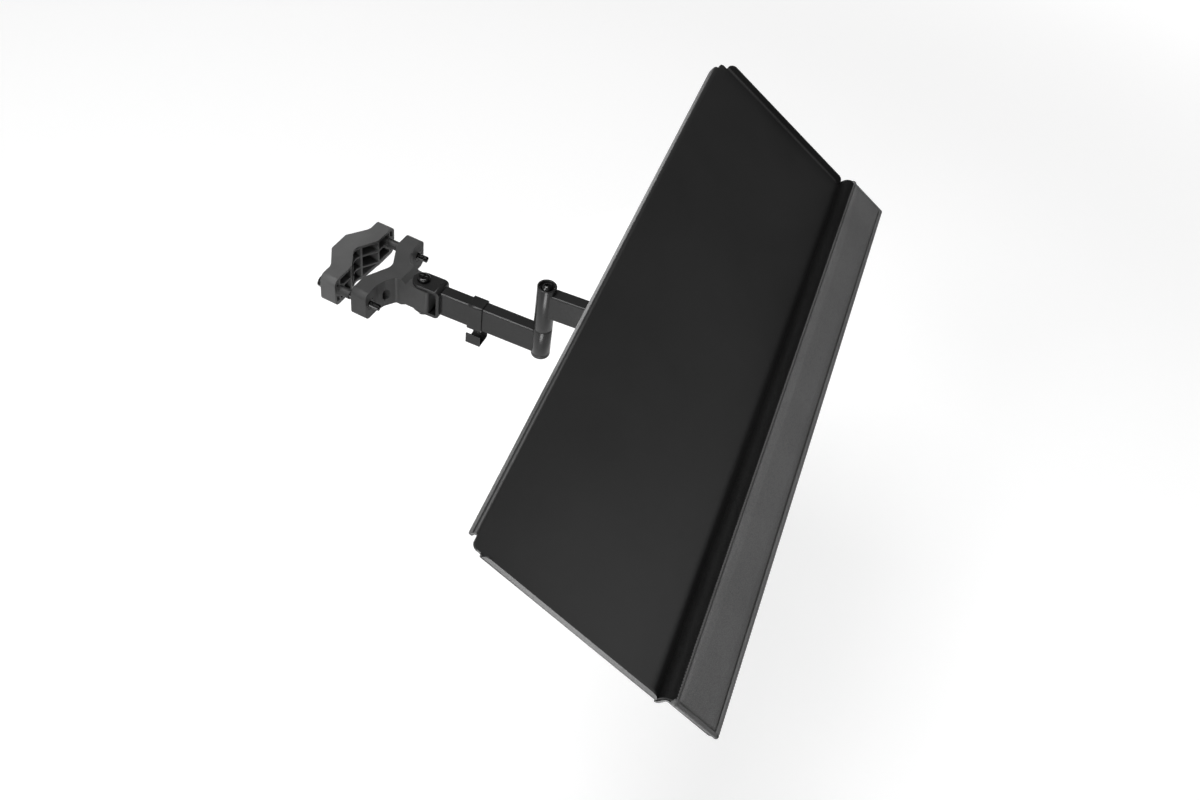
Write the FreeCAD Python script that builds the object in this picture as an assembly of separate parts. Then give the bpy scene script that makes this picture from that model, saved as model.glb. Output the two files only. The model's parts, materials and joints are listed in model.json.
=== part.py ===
import FreeCAD, Part
import math
import os

# Pole-mounted keyboard tray. Millimetres, +Z up, origin on the pole's axis at the clamp's mid height.
# The arm leaves the clamp towards -Y; the tray's long side runs along X when every swivel is straight.
# The rest pose is the working pose: small swivel angles and a tray that slopes towards the user.

Vector = FreeCAD.Vector
Placement = FreeCAD.Placement
Rotation = FreeCAD.Rotation

ORIGIN = Vector(0, 0, 0)
X_AXIS = Vector(1, 0, 0)
Y_AXIS = Vector(0, 1, 0)
Z_AXIS = Vector(0, 0, 1)

# Rest pose, degrees. Yaws are counted from -Y, positive towards +X.
LOWER_ARM_YAW = 3.85
UPPER_ARM_YAW = 6.06
HEAD_YAW = 9.0
TRAY_TILT = 35.0

# Pole and jaws
POLE_RADIUS = 19.0
JAW_HALF_HEIGHT = 15.7
JAW_END_REACH = 8.3
JAW_CORNER = 6.5
BOLT_CLEAR_OF_POLE = 21.0
FRONT_V_SLOPE = 26.0
FRONT_V_DEPTH = 13.2
FRONT_EAR_THICKNESS = 16.2
REAR_V_SLOPE = 31.0
REAR_V_DEPTH = 12.7
REAR_EAR_THICKNESS = 16.0
REAR_LOBE_DROP = 10.8
REAR_LOBE_HALF_WIDTH = 7.0
REAR_LOBE_ROOT_HALF_WIDTH = 20.5
REAR_LOBE_RADIUS = 2.0
VALLEY_RADIUS = 11.0
V_MOUTH_RADIUS = 3.0
FLARE_HALF_WIDTH = 30.0
FLARE_KNEE_HALF_WIDTH = 21.5
FLARE_KNEE_DROP = 2.4
FLARE_ROOT_DROP = 8.7
FLARE_RADIUS = 6.0
BLOCK_ROOT_RADIUS = 3.0
BLOCK_HALF_WIDTH = 11.5
BLOCK_HALF_HEIGHT = 12.8
BLOCK_END_RADIUS = 4.0
RAMP_FOOT_TO_SCREW = 12.0
RAMP_TOP_TO_SCREW = 17.5
VALLEY_TO_BASE_SCREW = 34.3
BACK_PLATEAU_HALF_WIDTH = 11.2
BACK_PLATEAU_RISE = 13.5
BACK_SHOULDER_HALF_WIDTH = 29.2
BACK_SHOULDER_RISE = 1.4
BACK_FOOT_HALF_WIDTH = 33.0
BACK_FOOT_RADIUS = 2.0
BACK_PLATEAU_RADIUS = 3.0
JAW_WALL = 3.0
JAW_RIB = 1.8
REAR_RIBS = (6.5, 22.5, 40.5)
REAR_ROW_RIBS = (-11.6, 2.2)
FRONT_RIBS = (10.0, 18.0)
FRONT_ROW_RIBS = (-5.5, 5.5)
BOSS_RADIUS = 4.5
BOSS_WALL_RADIUS = 6.5
BOSS_REACH = 12.0
BOSS_POCKET_DEPTH = 9.0
BOSS_POCKET_CLEARANCE = 0.5
NUT_FIT = 0.1
SIDE_SLOT_HALF_WIDTH = 3.6
SIDE_SLOT_HALF_HEIGHT = 5.8
SIDE_SLOT_DEPTH = 8.0
SIDE_SLOT_HALF_SPACING = 20.0
SIDE_SLOT_DROP = 2.0

# M6 hardware
M6_RADIUS = 3.0
M6_HOLE_RADIUS = 3.2
M6_NUT_FLATS = 10.0
M6_NUT_HEIGHT = 5.0
M6_LOCK_NUT_HEIGHT = 6.0
M6_WASHER_RADIUS = 6.1
M6_WASHER_THICKNESS = 1.2
M6_FLANGE_RADIUS = 6.75
M6_FLANGE_HEIGHT = 1.3
M6_HEX_HEAD_HEIGHT = 4.7
M6_PAN_RADIUS = 6.1
M6_PAN_HEIGHT = 4.3
M6_PAN_EDGE_RADIUS = 1.9
M6_CROSS_HALF_LENGTH = 3.6
M6_CROSS_HALF_WIDTH = 0.6
M6_CROSS_DEPTH = 2.1
M6_BUTTON_RADIUS = 5.25
M6_BUTTON_HEIGHT = 3.3
M6_BUTTON_RIM = 0.3
M6_SOCKET_FLATS = 4.0
M6_SOCKET_DEPTH = 2.0
M6_TIP_REACH = 1.5
CLAMP_BOLT_TIP_REACH = 10.4
TIP_CHAMFER = 0.8
RUNNING_FIT = 0.05
PRESS_FIT = 0.02
WELD_GAP = 0.05
FACE_GAP = 0.05
OVERCUT = 1.0

# Base swivel
FORK_HALF_WIDTH = 10.3
FORK_PLATE = 3.2
FORK_BEND = 1.5
FORK_WEB_CLEARANCE = 6.5
BASE_BUSH_RADIUS = 4.5
BASE_BUSH_LENGTH = 12.0
BASE_FLANGE_RADIUS = 8.5
FLANGE_THICKNESS = 0.4

# Links
TUBE_WIDTH = 13.0
TUBE_HEIGHT = 27.0
TUBE_WALL = 1.5
TUBE_CORNER = 1.5
LOWER_ARM_LENGTH = 122.0
UPPER_ARM_LENGTH = 100.0

# Elbow
BARREL_RADIUS = 8.8
LOWER_BARREL_BELOW_TUBE = 0.2
LOWER_BARREL_ABOVE_TUBE = 2.3
THRUST_RING_THICKNESS = 0.4
THRUST_RING_INSET = 0.3
UPPER_BARREL_BELOW_TUBE = 17.6
UPPER_BARREL_ABOVE_TUBE = 5.5
BARREL_BORE_RADIUS = 7.0
POST_RADIUS = 5.75
POST_IN_CAP_CLEARANCE = 5.0
ELBOW_BUSH_LENGTH = 15.0
RIM_RECESS = 3.5
ELBOW_WASHER_RADIUS = 6.6
ELBOW_WASHER_THICKNESS = 1.6
ELBOW_SCREW_LENGTH = 14.0
CAP_HEIGHT = 4.9
CAP_EDGE_RADIUS = 2.5
CAP_PLUG_LENGTH = 4.0

# Head under the tray
HEAD_BARREL_HEIGHT = 30.0
HEAD_BORE_RADIUS = 6.0
HEAD_BUSH_LENGTH = 12.0
HEAD_PLATE = 3.0
HEAD_BEND = 2.0
HEAD_WEB_CLEARANCE = 2.2
TILT_BARREL_RADIUS = 8.0
TILT_BARREL_HALF_LENGTH = 16.0
TILT_AXIS_BELOW_TUBE_TOP = 4.9
TILT_BUSH_LENGTH = 12.0
TILT_BUSH_RADIUS = 6.0
TILT_BOLT_RADIUS = 4.0
TILT_HEAD_RADIUS = 6.5
TILT_HEAD_HEIGHT = 8.0
TILT_SOCKET_FLATS = 6.0
TILT_SOCKET_DEPTH = 4.0
TILT_WASHER_RADIUS = 8.0
TILT_WASHER_THICKNESS = 1.6
TILT_NUT_FLATS = 13.0
TILT_NUT_HEIGHT = 8.0
TILT_TIP_REACH = 2.0
DISC_RADIUS = 9.5
DISC_THICKNESS = 1.5

# Tray bracket
BRACKET_PLATE = 3.0
BRACKET_HALF_LENGTH = 50.0
BRACKET_HALF_DEPTH = 42.0
BRACKET_CORNER = 8.0
EAR_PLATE = 3.0
EAR_ROOT_HALF_WIDTH = 14.0
EAR_RADIUS = 10.0
EAR_CORNER = 8.0
STUD_SPACING_X = 76.0
STUD_SPACING_Y = 60.0
STUD_RADIUS = 2.5
STUD_LENGTH = 9.0
STUD_NUT_FLATS = 8.0
STUD_NUT_HEIGHT = 4.7
STUD_NUT_FLANGE_RADIUS = 5.9
STUD_NUT_FLANGE_HEIGHT = 1.1
STUD_HOLE_RADIUS = 2.7

# Tray, in its own frame: X along the tray, Y = 0 at the back face, Z = 0 on the plate's top
SHEET = 2.0
TRAY_HALF_LENGTH = 325.0
TRAY_BEND = 2.0
BACK_BEND = 1.5
BACK_FLANGE_DROP = 9.4
BACK_FLANGE_END_GAP = 14.0
BACK_FLANGE_CORNER = 5.0
PLATE_CORNER = 5.0
SIDE_FLANGE_TOP = 6.6
SIDE_FLANGE_START = 12.0
SIDE_FLANGE_BACK_RADIUS = 6.0
SIDE_FLANGE_FRONT_RADIUS = 8.0
FRONT_WALL_TO_BACK = 183.6
FRONT_WALL_LEAN = 1.0
LIP_TOP = 10.0
LIP_DEPTH = 50.0
LIP_CORNER = 6.0
LIP_END_INSET = 0.3
TILT_AXIS_TO_BACK = 93.3
TILT_AXIS_DROP = 24.35

# Wrist rest
PAD_BEHIND_WALL = 2.7
PAD_DEPTH = 47.0
PAD_END_INSET = 0.3
PAD_EDGE_HEIGHT = 3.2
PAD_CROWN = 2.0
PAD_END_CROWN = 0.5
PAD_FOOT_INSET = 0.6
PAD_SEAM_INSET = 2.4
PAD_CORNER = 6.0
PAD_CORNER_STEPS = 4
PAD_END_FALL = 14.0
BOARD_THICKNESS = 2.5
BOARD_INSET = 7.0

# Cable clip
CLIP_SHEET = 1.3
CLIP_WIDTH = 14.4
CLIP_TO_ELBOW = 65.2
CLIP_FIT = 0.15
CLIP_LIP_REACH = 1.4
CLIP_LOOP_DEPTH = 17.7
CLIP_SLOT = 5.0
CLIP_HOOK_OFFSET = 1.2
CLIP_BEND = 1.0

# Places that follow from the sizes above
front_valley_y = -POLE_RADIUS / math.cos(math.radians(FRONT_V_SLOPE))
front_face_y = front_valley_y + FRONT_V_DEPTH
front_back_y = front_face_y - FRONT_EAR_THICKNESS
rear_valley_y = POLE_RADIUS / math.cos(math.radians(REAR_V_SLOPE))
rear_face_y = rear_valley_y - REAR_V_DEPTH
rear_back_y = rear_face_y + REAR_EAR_THICKNESS
base_screw_y = front_valley_y - VALLEY_TO_BASE_SCREW
bolt_x = POLE_RADIUS + BOLT_CLEAR_OF_POLE
jaw_half_span = bolt_x + JAW_END_REACH

swivel_gap = FLANGE_THICKNESS + FACE_GAP
base_fork_inner = BLOCK_HALF_HEIGHT + swivel_gap
base_fork_outer = base_fork_inner + FORK_PLATE
base_web_inner = BLOCK_HALF_WIDTH + FORK_WEB_CLEARANCE
base_web_outer = base_web_inner + FORK_PLATE

lower_tube_top = TUBE_HEIGHT / 2
lower_barrel_top = lower_tube_top + LOWER_BARREL_ABOVE_TUBE
lower_barrel_bottom = -lower_tube_top - LOWER_BARREL_BELOW_TUBE
upper_barrel_bottom = lower_barrel_top + THRUST_RING_THICKNESS + 2 * FACE_GAP
upper_tube_bottom = upper_barrel_bottom + UPPER_BARREL_BELOW_TUBE
upper_tube_middle = upper_tube_bottom + TUBE_HEIGHT / 2
upper_tube_top = upper_tube_bottom + TUBE_HEIGHT
upper_barrel_top = upper_tube_top + UPPER_BARREL_ABOVE_TUBE
post_top = upper_barrel_top - RIM_RECESS
post_bottom = lower_barrel_bottom + POST_IN_CAP_CLEARANCE

head_fork_inner = HEAD_BARREL_HEIGHT / 2 + swivel_gap
head_fork_outer = head_fork_inner + HEAD_PLATE
head_web_inner = BARREL_RADIUS + HEAD_WEB_CLEARANCE
head_web_outer = head_web_inner + HEAD_PLATE
tilt_axis_y = -(head_web_outer + TILT_BARREL_RADIUS + WELD_GAP)
tilt_axis_z = upper_tube_top - TILT_AXIS_BELOW_TUBE_TOP
ear_inner_x = TILT_BARREL_HALF_LENGTH + DISC_THICKNESS + 2 * FACE_GAP
ear_outer_x = ear_inner_x + EAR_PLATE

side_bend_x = TRAY_HALF_LENGTH - SHEET - TRAY_BEND
plate_back_y = -(SHEET + BACK_BEND)
wall_y = -FRONT_WALL_TO_BACK
lip_start_y = wall_y - FRONT_WALL_LEAN
lip_front_y = wall_y - LIP_DEPTH
side_flange_front_y = wall_y + SHEET
pad_back_y = lip_start_y - PAD_BEHIND_WALL
pad_front_y = pad_back_y - PAD_DEPTH
pad_half_length = TRAY_HALF_LENGTH - PAD_END_INSET


# Shape helpers

def point(plane, a, b, level):
    """A point of the XY, XZ or YZ plane at a level along the plane's normal."""
    if plane == "XY":
        return Vector(a, b, level)
    if plane == "XZ":
        return Vector(a, level, b)
    return Vector(level, a, b)


def outline(corners, radii):
    """A closed wire through the corners, each one rounded by its radius."""
    count = len(corners)
    starts, middles, ends = [], [], []
    for index, corner in enumerate(corners):
        before = (corners[index - 1] - corner).normalize()
        after = (corners[(index + 1) % count] - corner).normalize()
        half = before.getAngle(after) / 2
        reach = radii[index] / math.tan(half)
        starts.append(corner + before * reach)
        ends.append(corner + after * reach)
        inward = (before + after).normalize() if radii[index] else ORIGIN
        middles.append(corner + inward * (radii[index] / math.sin(half) - radii[index]))
    edges = []
    for index in range(count):
        if ends[index - 1].distanceToPoint(starts[index]) > 1e-6:
            edges.append(Part.LineSegment(ends[index - 1], starts[index]).toShape())
        if radii[index]:
            edges.append(Part.Arc(starts[index], middles[index], ends[index]).toShape())
    return Part.Wire(edges)


def slab(plane, points, low, high, radii=0.0):
    """A solid with the given outline, between two levels along the plane's normal."""
    if isinstance(radii, float):
        radii = [radii] * len(points)
    corners = [point(plane, a, b, low) for a, b in points]
    return Part.Face(outline(corners, radii)).extrude(point(plane, 0, 0, high - low))


def rectangle(low_a, high_a, low_b, high_b):
    return [(low_a, low_b), (high_a, low_b), (high_a, high_b), (low_a, high_b)]


def bent_strip(plane, path, thickness, bend, low, high):
    """A bent sheet: the path is its middle line, and bend is each inside radius."""
    left, right, left_radii, right_radii = [], [], [], []
    for index, (a, b) in enumerate(path):
        before = path[max(index - 1, 0)]
        after = path[min(index + 1, len(path) - 1)]
        arriving = math.atan2(b - before[1], a - before[0]) if index else None
        leaving = math.atan2(after[1] - b, after[0] - a) if index < len(path) - 1 else arriving
        arriving = leaving if arriving is None else arriving
        turn = math.remainder(leaving - arriving, 2 * math.pi)
        normal = (arriving + turn / 2) + math.pi / 2
        reach = thickness / 2 / math.cos(turn / 2)
        left.append((a + reach * math.cos(normal), b + reach * math.sin(normal)))
        right.append((a - reach * math.cos(normal), b - reach * math.sin(normal)))
        inside_left = bend if turn > 0 else bend + thickness
        inside_right = bend if turn < 0 else bend + thickness
        left_radii.append(inside_left if abs(turn) > 1e-9 else 0.0)
        right_radii.append(inside_right if abs(turn) > 1e-9 else 0.0)
    return slab(plane, left + right[::-1], low, high, left_radii + right_radii[::-1])


def block(x_range, y_range, z_range):
    size = [high - low for low, high in (x_range, y_range, z_range)]
    return Part.makeBox(*size, Vector(x_range[0], y_range[0], z_range[0]))


def rod(radius, start, end):
    direction = end - start
    return Part.makeCylinder(radius, direction.Length, start, direction)


def sleeve(outer_radius, inner_radius, start, end):
    return rod(outer_radius, start, end).cut(rod(inner_radius, start, end))


def aligned(shape, place, direction):
    """A shape made along +Z from the origin, moved to a place and turned along a direction."""
    moved = shape.copy()
    moved.Placement = Placement(place, Rotation(Z_AXIS, direction))
    return moved


def up(height):
    return Vector(0, 0, height)


def on_screw_line(y, z):
    return Vector(0, y, z)


def hexagon(flats, low, high):
    """A hexagonal rod on the Z axis."""
    corner = flats / 2 / math.cos(math.pi / 6)
    ring = [Vector(corner * math.cos(k * math.pi / 3), corner * math.sin(k * math.pi / 3), low)
            for k in range(6)]
    return Part.Face(Part.makePolygon(ring + ring[:1])).extrude(up(high - low))


def chamfered_hexagon(flats, low, high, both_ends=False):
    """A hexagonal rod whose corners are turned down at its top, and at its bottom if asked."""
    corner = flats / 2 / math.cos(math.pi / 6)
    drop = (corner - flats / 2) * math.tan(math.radians(30))
    tall = high - low - drop
    turned = Part.makeCylinder(corner, tall, up(low)).fuse(
        Part.makeCone(corner, flats / 2, drop, up(high - drop)))
    body = hexagon(flats, low, high).common(turned)
    if both_ends:
        body = body.common(aligned(turned, up(low + high), -Z_AXIS))
    return body


def rim_edges(shape, height):
    """The round edges of a shape that lie at one height."""
    return [edge for edge in shape.Edges
            if isinstance(edge.Curve, Part.Circle)
            and abs(edge.BoundBox.ZMin - height) < 1e-4 and abs(edge.BoundBox.ZMax - height) < 1e-4]


def nut(flats, height, bore_radius):
    """A hexagonal nut that stands on the origin."""
    return chamfered_hexagon(flats, 0.0, height, both_ends=True).cut(rod(bore_radius, ORIGIN, up(height)))


def shank(radius, length):
    """A screw's shank, from the origin down, with a chamfered tip."""
    body = rod(radius, up(-length), ORIGIN)
    return body.makeChamfer(TIP_CHAMFER, rim_edges(body, -length))


def pan_screw(length):
    """An M6 pan-head screw with a cross recess: head above the origin, shank below."""
    head = rod(M6_PAN_RADIUS, ORIGIN, up(M6_PAN_HEIGHT))
    head = head.makeFillet(M6_PAN_EDGE_RADIUS, rim_edges(head, M6_PAN_HEIGHT))
    long, wide = M6_CROSS_HALF_LENGTH, M6_CROSS_HALF_WIDTH
    recess = (M6_PAN_HEIGHT - M6_CROSS_DEPTH, M6_PAN_HEIGHT + OVERCUT)
    for half_x, half_y in ((long, wide), (wide, long)):
        head = head.cut(block((-half_x, half_x), (-half_y, half_y), recess))
    return head.fuse(shank(M6_RADIUS, length)).removeSplitter()


def button_screw(length):
    """An M6 button-head screw with a hexagon socket: head above the origin, shank below."""
    dome_height = M6_BUTTON_HEIGHT - M6_BUTTON_RIM
    dome_radius = (M6_BUTTON_RADIUS ** 2 + dome_height ** 2) / (2 * dome_height)
    dome = Part.makeSphere(dome_radius, up(M6_BUTTON_HEIGHT - dome_radius))
    head = rod(M6_BUTTON_RADIUS, ORIGIN, up(M6_BUTTON_HEIGHT)).common(dome)
    head = head.cut(hexagon(M6_SOCKET_FLATS, M6_BUTTON_HEIGHT - M6_SOCKET_DEPTH, M6_BUTTON_HEIGHT + OVERCUT))
    return head.fuse(shank(M6_RADIUS, length)).removeSplitter()


def flange_bolt(length):
    """An M6 hexagon bolt with a flange: head above the origin, shank below."""
    flange = Part.makeCone(M6_FLANGE_RADIUS, M6_FLANGE_RADIUS - M6_FLANGE_HEIGHT / 2, M6_FLANGE_HEIGHT)
    head = chamfered_hexagon(M6_NUT_FLATS, 0.0, M6_FLANGE_HEIGHT + M6_HEX_HEAD_HEIGHT)
    return flange.fuse([head, shank(M6_RADIUS, length)]).removeSplitter()


def cap_screw(length):
    """The tilt bolt: a cylinder head with a hexagon socket above the origin, its shank below."""
    head = rod(TILT_HEAD_RADIUS, ORIGIN, up(TILT_HEAD_HEIGHT))
    head = head.makeChamfer(TIP_CHAMFER, rim_edges(head, TILT_HEAD_HEIGHT))
    socket_floor = TILT_HEAD_HEIGHT - TILT_SOCKET_DEPTH
    head = head.cut(hexagon(TILT_SOCKET_FLATS, socket_floor, TILT_HEAD_HEIGHT + OVERCUT))
    return head.fuse(shank(TILT_BOLT_RADIUS, length)).removeSplitter()


def flanged_bush(outer_radius, inner_radius, flange_radius, length):
    """A bush that stands in a bore under the origin, with its flange on the bore's mouth."""
    body = rod(outer_radius, up(-length), ORIGIN).fuse(rod(flange_radius, ORIGIN, up(FLANGE_THICKNESS)))
    return body.cut(rod(inner_radius, up(-length), up(FLANGE_THICKNESS))).removeSplitter()


# Pole clamp

def mirrored_outline(half):
    """A closed outline from its +X half, which is listed from one end of the middle line to the other."""
    return half + [(-x, y) for x, y in reversed(half) if x > 1e-9]


def jaw_ends(y_range, inset=0.0):
    """The jaws' front view: a long rectangle with large round corners."""
    span, height = jaw_half_span - inset, JAW_HALF_HEIGHT - inset
    return slab("XZ", rectangle(-span, span, -height, height), *y_range, JAW_CORNER - inset)


def bolt_places(y):
    return [Vector(side * bolt_x, y, 0) for side in (-1, 1)]


def spans_between(ribs, low, high):
    """The spans that a row of ribs leaves open between its two ends."""
    starts = [low] + [rib + JAW_RIB / 2 for rib in ribs]
    ends = [rib - JAW_RIB / 2 for rib in ribs] + [high]
    return list(zip(starts, ends))


def jaw_cells(inner, columns, row_ribs, y_range):
    """The open cells between a jaw's ribs, clear of the bolts' walls."""
    reach = JAW_HALF_HEIGHT + REAR_LOBE_DROP
    walls = [rod(BOSS_WALL_RADIUS, Vector(x, y_range[0], 0), Vector(x, y_range[1], 0))
             for x in (-bolt_x, bolt_x)]
    return [inner.common(block(column, y_range, row)).cut(walls)
            for column in columns for row in spans_between(row_ribs, -reach, reach)]


def front_jaw():
    ear_back, root = front_back_y, front_back_y - FLARE_ROOT_DROP
    slope = math.tan(math.radians(FRONT_V_SLOPE))
    half = [(0.0, front_valley_y), (FRONT_V_DEPTH / slope, front_face_y), (jaw_half_span, front_face_y),
            (jaw_half_span, ear_back), (FLARE_HALF_WIDTH, ear_back),
            (FLARE_KNEE_HALF_WIDTH, ear_back - FLARE_KNEE_DROP), (BLOCK_HALF_WIDTH, root),
            (BLOCK_HALF_WIDTH, base_screw_y - BLOCK_HALF_WIDTH)]
    half_radii = [0.0, V_MOUTH_RADIUS, 0.0, 0.0, FLARE_RADIUS, FLARE_RADIUS, BLOCK_ROOT_RADIUS,
                  BLOCK_END_RADIUS]
    radii = [VALLEY_RADIUS] + half_radii[1:] + half_radii[:0:-1]
    y_range = (base_screw_y - BLOCK_HALF_WIDTH, front_face_y)
    body = slab("XY", mirrored_outline(half), -JAW_HALF_HEIGHT, JAW_HALF_HEIGHT, radii)
    body = body.common(jaw_ends(y_range))
    block_end, half_block = y_range[0] - OVERCUT, BLOCK_HALF_WIDTH + OVERCUT
    ramp_foot, ramp_top = base_screw_y + RAMP_FOOT_TO_SCREW, base_screw_y + RAMP_TOP_TO_SCREW
    for side in (-1, 1):
        ramp = [(block_end, side * BLOCK_HALF_HEIGHT), (ramp_foot, side * BLOCK_HALF_HEIGHT),
                (ramp_top, side * JAW_HALF_HEIGHT), (block_end, side * JAW_HALF_HEIGHT)]
        body = body.cut(slab("YZ", ramp, -half_block, half_block))
    body = body.cut(rod(BASE_BUSH_RADIUS + PRESS_FIT, on_screw_line(base_screw_y, -JAW_HALF_HEIGHT),
                        on_screw_line(base_screw_y, JAW_HALF_HEIGHT)))
    cell_floor = ear_back + JAW_WALL + M6_NUT_HEIGHT
    cell_range = (cell_floor, front_face_y + OVERCUT)
    inner = jaw_ends(cell_range, JAW_WALL)
    pocket_radius = BOSS_RADIUS + BOSS_POCKET_CLEARANCE
    columns = spans_between(FRONT_RIBS[1:], FRONT_RIBS[0] + JAW_RIB / 2, FLARE_HALF_WIDTH - JAW_RIB / 2)
    columns += [(-high, -low) for low, high in columns]
    cuts = jaw_cells(inner, columns, FRONT_ROW_RIBS, cell_range)
    bolt_hole = rod(M6_HOLE_RADIUS, ORIGIN, up(FRONT_EAR_THICKNESS + 2 * OVERCUT))
    nut_pocket = hexagon(M6_NUT_FLATS + 2 * NUT_FIT, 0, M6_NUT_HEIGHT + OVERCUT)
    boss_pocket = rod(pocket_radius, ORIGIN, up(BOSS_POCKET_DEPTH + OVERCUT))
    cuts += [aligned(tool, place, Y_AXIS) for tool in (bolt_hole, nut_pocket)
             for place in bolt_places(ear_back - OVERCUT)]
    cuts += [aligned(boss_pocket, place, Y_AXIS) for place in bolt_places(front_face_y - BOSS_POCKET_DEPTH)]
    slot_floor = ear_back - FLARE_KNEE_DROP + SIDE_SLOT_DEPTH
    low_z, high_z = -SIDE_SLOT_DROP - SIDE_SLOT_HALF_HEIGHT, -SIDE_SLOT_DROP + SIDE_SLOT_HALF_HEIGHT
    for side in (-1, 1):
        middle = side * SIDE_SLOT_HALF_SPACING
        view = rectangle(middle - SIDE_SLOT_HALF_WIDTH, middle + SIDE_SLOT_HALF_WIDTH, low_z, high_z)
        cuts.append(slab("XZ", view, root, slot_floor, SIDE_SLOT_HALF_WIDTH - RUNNING_FIT))
    return body.cut(cuts)


def rear_front_view(y_range, inset=0.0):
    """The rear jaw's front view: as the jaws' ends, with a lobe that hangs under its middle."""
    span, height = jaw_half_span - inset, JAW_HALF_HEIGHT - inset
    lean = math.atan2(REAR_LOBE_DROP, REAR_LOBE_ROOT_HALF_WIDTH - REAR_LOBE_HALF_WIDTH)
    shift = inset * math.tan(lean / 2)
    half = [(REAR_LOBE_HALF_WIDTH - shift, -height - REAR_LOBE_DROP),
            (REAR_LOBE_ROOT_HALF_WIDTH - shift, -height), (span, -height), (span, height)]
    radii = 2 * [REAR_LOBE_RADIUS] + 2 * [JAW_CORNER - inset]
    return slab("XZ", mirrored_outline(half), *y_range, radii + radii[::-1])


def rear_jaw():
    slope = math.tan(math.radians(REAR_V_SLOPE))
    plateau_y = rear_back_y + BACK_PLATEAU_RISE
    shoulder_y = rear_back_y + BACK_SHOULDER_RISE
    half = [(0.0, rear_valley_y), (REAR_V_DEPTH / slope, rear_face_y), (jaw_half_span, rear_face_y),
            (jaw_half_span, rear_back_y), (BACK_FOOT_HALF_WIDTH, rear_back_y),
            (BACK_SHOULDER_HALF_WIDTH, shoulder_y), (BACK_PLATEAU_HALF_WIDTH, plateau_y)]
    half_radii = [0.0, V_MOUTH_RADIUS, 0.0, 0.0, BACK_FOOT_RADIUS, BACK_FOOT_RADIUS, BACK_PLATEAU_RADIUS]
    radii = [VALLEY_RADIUS] + half_radii[1:] + half_radii[:0:-1]
    y_range = (rear_face_y, plateau_y)
    lowest = -JAW_HALF_HEIGHT - REAR_LOBE_DROP
    body = slab("XY", mirrored_outline(half), lowest, JAW_HALF_HEIGHT, radii)
    body = body.common(rear_front_view(y_range))

    lean = math.atan2(plateau_y - shoulder_y, BACK_SHOULDER_HALF_WIDTH - BACK_PLATEAU_HALF_WIDTH)
    inner_plateau_x = BACK_PLATEAU_HALF_WIDTH - JAW_WALL * math.tan(lean / 2)
    inner_foot_x = inner_plateau_x + BACK_PLATEAU_RISE / math.tan(lean)
    outer_x = jaw_half_span - JAW_WALL
    inner_half = [(outer_x, rear_face_y - OVERCUT), (outer_x, rear_back_y - JAW_WALL),
                  (inner_foot_x, rear_back_y - JAW_WALL), (inner_plateau_x, plateau_y - JAW_WALL)]
    inner_range = (rear_face_y - OVERCUT, plateau_y - JAW_WALL)
    inner = slab("XY", mirrored_outline(inner_half), lowest, JAW_HALF_HEIGHT)
    inner = inner.common(rear_front_view(inner_range, JAW_WALL))
    ribs = [-x for x in reversed(REAR_RIBS)] + list(REAR_RIBS)
    body = body.cut(jaw_cells(inner, spans_between(ribs, -outer_x, outer_x), REAR_ROW_RIBS, inner_range))

    bosses = [aligned(rod(BOSS_RADIUS, ORIGIN, up(BOSS_REACH + JAW_RIB)), place, Y_AXIS)
              for place in bolt_places(rear_face_y - BOSS_REACH)]
    holes = [aligned(rod(M6_RADIUS + RUNNING_FIT, ORIGIN, up(REAR_EAR_THICKNESS + BOSS_REACH + OVERCUT)),
                     place, Y_AXIS) for place in bolt_places(rear_face_y - BOSS_REACH)]
    return body.fuse(bosses).cut(holes).removeSplitter()


def clamp_bolt(side):
    length = rear_back_y - front_back_y + CLAMP_BOLT_TIP_REACH
    return aligned(flange_bolt(length), Vector(side * bolt_x, rear_back_y, 0), Y_AXIS)


def clamp_nuts():
    one = nut(M6_NUT_FLATS, M6_NUT_HEIGHT - NUT_FIT, M6_RADIUS + RUNNING_FIT)
    return Part.makeCompound([aligned(one, place, Y_AXIS) for place in bolt_places(front_back_y + NUT_FIT)])


# Swivel pieces shared by the base and the head

def fork(inner_half, plate, bend, web_inner, hole_radius):
    """A C-shaped bracket about a screw on the Z axis, open towards +Y, with its web towards -Y."""
    middle = inner_half + plate / 2
    web = -(web_inner + plate / 2)
    path = [(FORK_HALF_WIDTH, middle), (web, middle), (web, -middle), (FORK_HALF_WIDTH, -middle)]
    body = bent_strip("YZ", path, plate, bend, -FORK_HALF_WIDTH, FORK_HALF_WIDTH)
    plan = rectangle(-FORK_HALF_WIDTH, FORK_HALF_WIDTH, -(web_inner + plate), FORK_HALF_WIDTH)
    height = inner_half + plate
    body = body.common(slab("XY", plan, -height, height, [0.0, 0.0, FORK_HALF_WIDTH, FORK_HALF_WIDTH]))
    return body.cut(rod(hole_radius, up(-height), up(height)))


def bush_pair(outer_radius, inner_radius, flange_radius, length, half_height):
    """Two flanged bushes, one from each end of a vertical bore that is centred on the origin."""
    bush = flanged_bush(outer_radius, inner_radius, flange_radius, length)
    return Part.makeCompound([aligned(bush, up(half_height), Z_AXIS),
                              aligned(bush, up(-half_height), -Z_AXIS)])


def m6_washer():
    return sleeve(M6_WASHER_RADIUS, M6_RADIUS + RUNNING_FIT, ORIGIN, up(M6_WASHER_THICKNESS))


def m6_lock_nut():
    return nut(M6_NUT_FLATS, M6_LOCK_NUT_HEIGHT, M6_RADIUS + RUNNING_FIT)


def stack_length(outer_half):
    """A swivel screw's length, from under its head to past its lock nut."""
    return 2 * outer_half + M6_WASHER_THICKNESS + M6_LOCK_NUT_HEIGHT + M6_TIP_REACH


# Lower link, in its own frame: the base screw on the Z axis, the elbow towards -Y

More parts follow.
